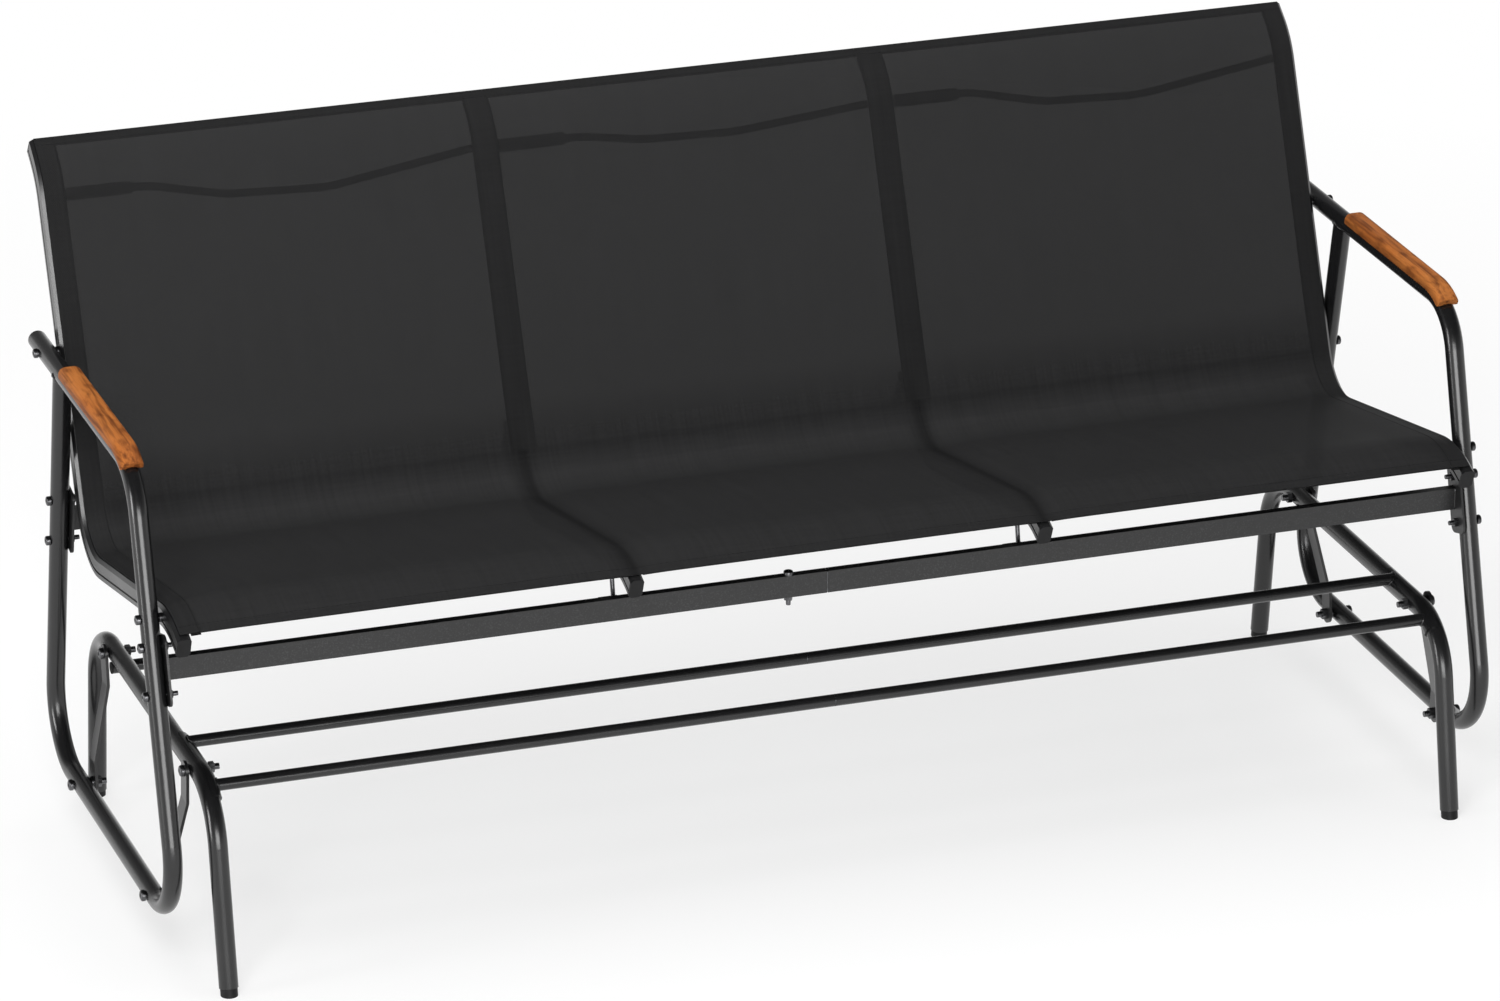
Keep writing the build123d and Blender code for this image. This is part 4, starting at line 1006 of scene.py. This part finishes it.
class GLIDER_OT_weave_sling(bpy.types.Operator):
    """Stretches the mesh sling over the four rails, with hems, pockets and rows of stitches"""

    bl_idname = "glider.weave_sling"
    bl_label = "Weave sling"

    def execute(self, context):
        settings = context.scene.glider_sling
        rails = [middle_of(name)[0] for name in RAILS]
        left_rail, right_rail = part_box(RAILS[0]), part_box(RAILS[3])
        low, high = Vector(left_rail[0]), Vector(right_rail[1])
        low.x, high.x = low.x + SLING_INSET, high.x - SLING_INSET
        rail_half = (left_rail[1][0] - left_rail[0][0]) / 2 + HEM_CLEAR
        band = rail_half + settings.pocket
        over = (settings, (high.x - low.x) / 2, rails[2], band)
        mesh_cloth = woven_mesh("mesh_cloth", settings.yarn, over)
        hem_cloth = woven_mesh("hem_cloth", settings.hem_tone)
        thread = spun_thread("sewing_thread", settings.hem_tone)
        rows = sling_profile(ROW_STEP)
        fine_rows = sling_profile(FINE_STEP)
        seam_rows = sling_profile(settings.stitch)
        length = rows[-1][2]
        hems = []

        def hollow_at(x, run):
            """Depth of the mesh between rails: it sinks on the back and swells on the seat."""
            bay = [pair for pair in zip(rails, rails[1:]) if pair[0] <= x <= pair[1]]
            if not bay:
                return 0.0
            left, right = bay[0]
            share = (x - left) / (right - left)
            ends = min(1.0, run / END_FADE, (length - run) / END_FADE)
            beside = max(0.0, min(x - left, right - x) - SWELL_FLAT)
            on_seat = min(1.0, max(0.0, (run - SEAT_BEGINS) / SEAT_FADE))
            kept = SWELL_AT_ENDS + (1 - SWELL_AT_ENDS) * ends
            swell = settings.lift * (1 - math.exp(-beside / SWELL_RISE)) * on_seat * kept
            return settings.hollow * 4 * share * (1 - share) * ends * (1 - on_seat) - swell

        def behind(x, run):
            """Depth of a hem, which lies behind the mesh."""
            return hollow_at(x, run) + settings.thickness + LAYER_GAP

        def lay_hem(name, left, right, hem_rows):
            """Second layer of cloth between two x."""
            hem = strip_mesh(name, even_steps(left, right, FINE_STEP), hem_rows, behind, hem_cloth)
            thicken(hem, settings.thickness)
            hems.append(hem)

        def seam_down(name, x, last):
            """Stitches down the sling at one x."""
            places = []
            for (spot, normal, run), (after, *_) in zip(seam_rows, seam_rows[1:]):
                if run < last:
                    middle = (spot + after) / 2 + normal * (hollow_at(x, run) - LAYER_GAP)
                    way = (after - spot).normalized()
                    places.append((Vector((x, *middle)), Vector((0, *way)), Vector((0, *normal))))
            hems.append(stitch_line(name, places, STITCH_SHARE * settings.stitch, thread))

        def seam_across(name, goal):
            """Stitches along the sling at one length of run."""
            spot, normal, run = min(fine_rows, key=lambda row: abs(row[2] - goal))
            places = []
            for x in even_steps(low.x + SEAM_ENDS, high.x - SEAM_ENDS, settings.stitch):
                middle = spot + normal * (hollow_at(x, run) - LAYER_GAP)
                places.append((Vector((x, *middle)), Vector((1, 0, 0)), Vector((0, *normal))))
            hems.append(stitch_line(name, places, STITCH_SHARE * settings.stitch, thread))

        extra = [x + side * step for x in rails for step in RAIL_COLUMNS for side in (-1, 1)]
        inside = [x for x in extra if low.x < x < high.x]
        columns = sorted({*even_steps(low.x, high.x, COLUMN_STEP), *inside})
        sheet = strip_mesh("sling_mesh", columns, rows, hollow_at, mesh_cloth)
        thicken(sheet, settings.thickness)

        hem_left, hem_right = low.x + settings.side_hem, high.x - settings.side_hem
        tip, tip_normal, _ = rows[-1]
        tab = (tip + Vector((tip_normal.y, -tip_normal.x)) * HEM_TAB, tip_normal, length + HEM_TAB)
        lay_hem("side_hem_left", rails[0] + rail_half, hem_left, [*rows, tab])
        lay_hem("side_hem_right", hem_right, rails[3] - rail_half, [*rows, tab])
        top_rows = [row for row in fine_rows if row[2] <= settings.top_hem]
        front_rows = [row for row in fine_rows if row[2] >= length - settings.top_hem]
        pocket_top = settings.top_hem + POCKET_BELOW
        pocket_rows = [row for row in fine_rows if pocket_top < row[2] <= settings.pocket_run]
        for index, (left, right) in enumerate(zip(rails, rails[1:])):
            inner_left = hem_left + HEM_APART if index == 0 else left + rail_half
            inner_right = hem_right - HEM_APART if index == 2 else right - rail_half
            lay_hem(f"top_hem_{index + 1}", inner_left, inner_right, top_rows)
            lay_hem(f"front_hem_{index + 1}", inner_left, inner_right, front_rows)
        for index, x in enumerate(rails[1:3]):
            lay_hem(f"pocket_{index + 1}_left", x - band, x - rail_half, pocket_rows)
            lay_hem(f"pocket_{index + 1}_right", x + rail_half, x + band, pocket_rows)

        seam_down("side_seam_left", hem_left - SEAM_IN, length)
        seam_down("side_seam_right", hem_right + SEAM_IN, length)
        for index, x in enumerate(rails[1:3]):
            for side, sign in (("left", -1), ("right", 1)):
                seam_x = x + sign * (band - SEAM_IN)
                seam_down(f"pocket_seam_{index + 1}_{side}", seam_x, settings.pocket_run)
        seam_across("top_seam", settings.top_hem - SEAM_IN)
        seam_across("front_seam", length - settings.top_hem + SEAM_IN)
        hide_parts("sling")
        for piece in [sheet, *hems]:
            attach(piece, SEAT)
        return {"FINISHED"}


class GLIDER_OT_set_stage(bpy.types.Operator):
    """Lays the floor, hangs the lamps and places the camera"""

    bl_idname = "glider.set_stage"
    bl_label = "Set stage"

    def execute(self, context):
        settings = context.scene.glider_stage
        bpy.ops.object.select_all(action="DESELECT")
        bpy.ops.mesh.primitive_plane_add(size=FLOOR_SIZE, location=(0.0, 0.0, 0.0))
        floor = context.active_object
        floor.name = "studio_floor"
        floor.data.materials.append(self.floor_material(settings))
        self.hang_world(context)
        for lamp in LAMPS:
            self.hang_lamp(*lamp)
        lens = bpy.data.cameras.new("photo_camera")
        lens.sensor_fit = "HORIZONTAL"
        lens.sensor_width = 36.0
        lens.lens = settings.lens
        lens.clip_end = 1000.0
        camera = bpy.data.objects.new("photo_camera", lens)
        context.collection.objects.link(camera)
        camera.location = settings.camera_place
        camera.rotation_euler = settings.camera_turn
        context.scene.camera = camera
        context.scene.view_settings.view_transform = "Standard"
        return {"FINISHED"}

    def seen(self, tree):
        """1 on rays from the camera, mirrors and clear pieces, 0 on the light that reaches the object."""
        rays = lay_node(tree, "LightPath").outputs
        mirrored = reckon(tree, "MAXIMUM", rays["Is Camera Ray"], rays["Is Glossy Ray"])
        return reckon(tree, "MAXIMUM", mirrored, rays["Is Transmission Ray"])

    def floor_material(self, settings):
        """White floor that keeps the shadow and is lifted to white where it is seen."""
        material = bpy.data.materials.new("studio_white")
        material.use_nodes = True
        tree = material.node_tree
        tree.nodes.clear()
        paint = lay_node(tree, "BsdfDiffuse", {"Color": (0.92, 0.92, 0.92, 1.0)})
        glow = lay_node(tree, "Emission", {"Color": (1.0, 1.0, 1.0, 1.0), "Strength": 1.0})
        place = lay_node(tree, "TexCoord").outputs["Object"]
        away = lay_node(tree, "VectorMath", {0: place}, operation="LENGTH").outputs["Value"]
        lift = spread(tree, away, FLOOR_LIFT, (settings.floor_white, 1.0))
        share = reckon(tree, "MULTIPLY", self.seen(tree), lift)
        shaders = {0: share, 1: paint.outputs[0], 2: glow.outputs[0]}
        mixed = lay_node(tree, "MixShader", shaders)
        lay_node(tree, "OutputMaterial", {"Surface": mixed.outputs[0]})
        return material

    def hang_world(self, context):
        """Plain grey surroundings, darker overhead, with a white backdrop just above the floor's edge."""
        world = bpy.data.worlds.new("studio")
        world.use_nodes = True
        context.scene.world = world
        tree = world.node_tree
        tree.nodes.clear()
        way = lay_node(tree, "TexCoord").outputs["Generated"]
        height = lay_node(tree, "SeparateXYZ", {"Vector": way}).outputs["Z"]
        grey = spread(tree, height, (0.0, GREY_REACH), (GREY_LEVEL, GREY_OVERHEAD))
        fade = spread(tree, height, BACKDROP_FADE, (1.0, 0.0))
        backdrop = reckon(tree, "MULTIPLY", self.seen(tree), fade)
        sky = {"Color": (1.0, 1.0, 1.0, 1.0), "Strength": reckon(tree, "MAXIMUM", grey, backdrop)}
        lay_node(tree, "OutputWorld", {"Surface": lay_node(tree, "Background", sky).outputs[0]})

    def hang_lamp(self, name, place, target, size, power, leaves_out):
        """Rectangular soft lamp aimed at a point, which can leave out reflections or matt light."""
        light = bpy.data.lights.new(name, "AREA")
        light.shape = "RECTANGLE"
        light.size, light.size_y = size
        light.energy = power
        lamp = bpy.data.objects.new(name, light)
        bpy.context.collection.objects.link(lamp)
        aim = Vector(target) - Vector(place)
        lamp.matrix_world = Matrix.Translation(place) @ aim.to_track_quat("-Z", "Y").to_matrix().to_4x4()
        lamp.visible_glossy = leaves_out != "reflections"
        lamp.visible_diffuse = leaves_out != "matt light"


class GLIDER_PT_bench(bpy.types.Panel):
    """Steps and settings of the glider bench"""

    bl_label = "Glider bench"
    bl_space_type = "VIEW_3D"
    bl_region_type = "UI"
    bl_category = "Glider"

    def draw(self, context):
        for step in STEPS:
            self.layout.operator(step.bl_idname)
        for name in SETTINGS:
            group = getattr(context.scene, name)
            box = self.layout.box()
            for setting in group.bl_rna.properties:
                if setting.identifier not in ("rna_type", "name"):
                    box.prop(group, setting.identifier)


STEPS = [
    GLIDER_OT_finish_steel,
    GLIDER_OT_finish_fittings,
    GLIDER_OT_finish_wood,
    GLIDER_OT_cap_bolts,
    GLIDER_OT_cut_threads,
    GLIDER_OT_lay_welds,
    GLIDER_OT_weave_sling,
    GLIDER_OT_set_stage,
]
SETTINGS = {
    "glider_coat": GliderCoat,
    "glider_wood": GliderWood,
    "glider_sling": GliderSling,
    "glider_stage": GliderStage,
}


def register():
    for name, group in SETTINGS.items():
        bpy.utils.register_class(group)
        setattr(bpy.types.Scene, name, bpy.props.PointerProperty(type=group))
    for step in [*STEPS, GLIDER_PT_bench]:
        bpy.utils.register_class(step)


def unregister():
    for step in reversed([*STEPS, GLIDER_PT_bench]):
        bpy.utils.unregister_class(step)
    for name, group in SETTINGS.items():
        delattr(bpy.types.Scene, name)
        bpy.utils.unregister_class(group)


def main():
    register()
    bpy.ops.glider.finish_steel()
    bpy.ops.glider.finish_fittings()
    bpy.ops.glider.finish_wood()
    bpy.ops.glider.cap_bolts()
    bpy.ops.glider.cut_threads()
    bpy.ops.glider.lay_welds()
    bpy.ops.glider.weave_sling()
    bpy.ops.glider.set_stage()


if __name__ == "__main__":
    main()
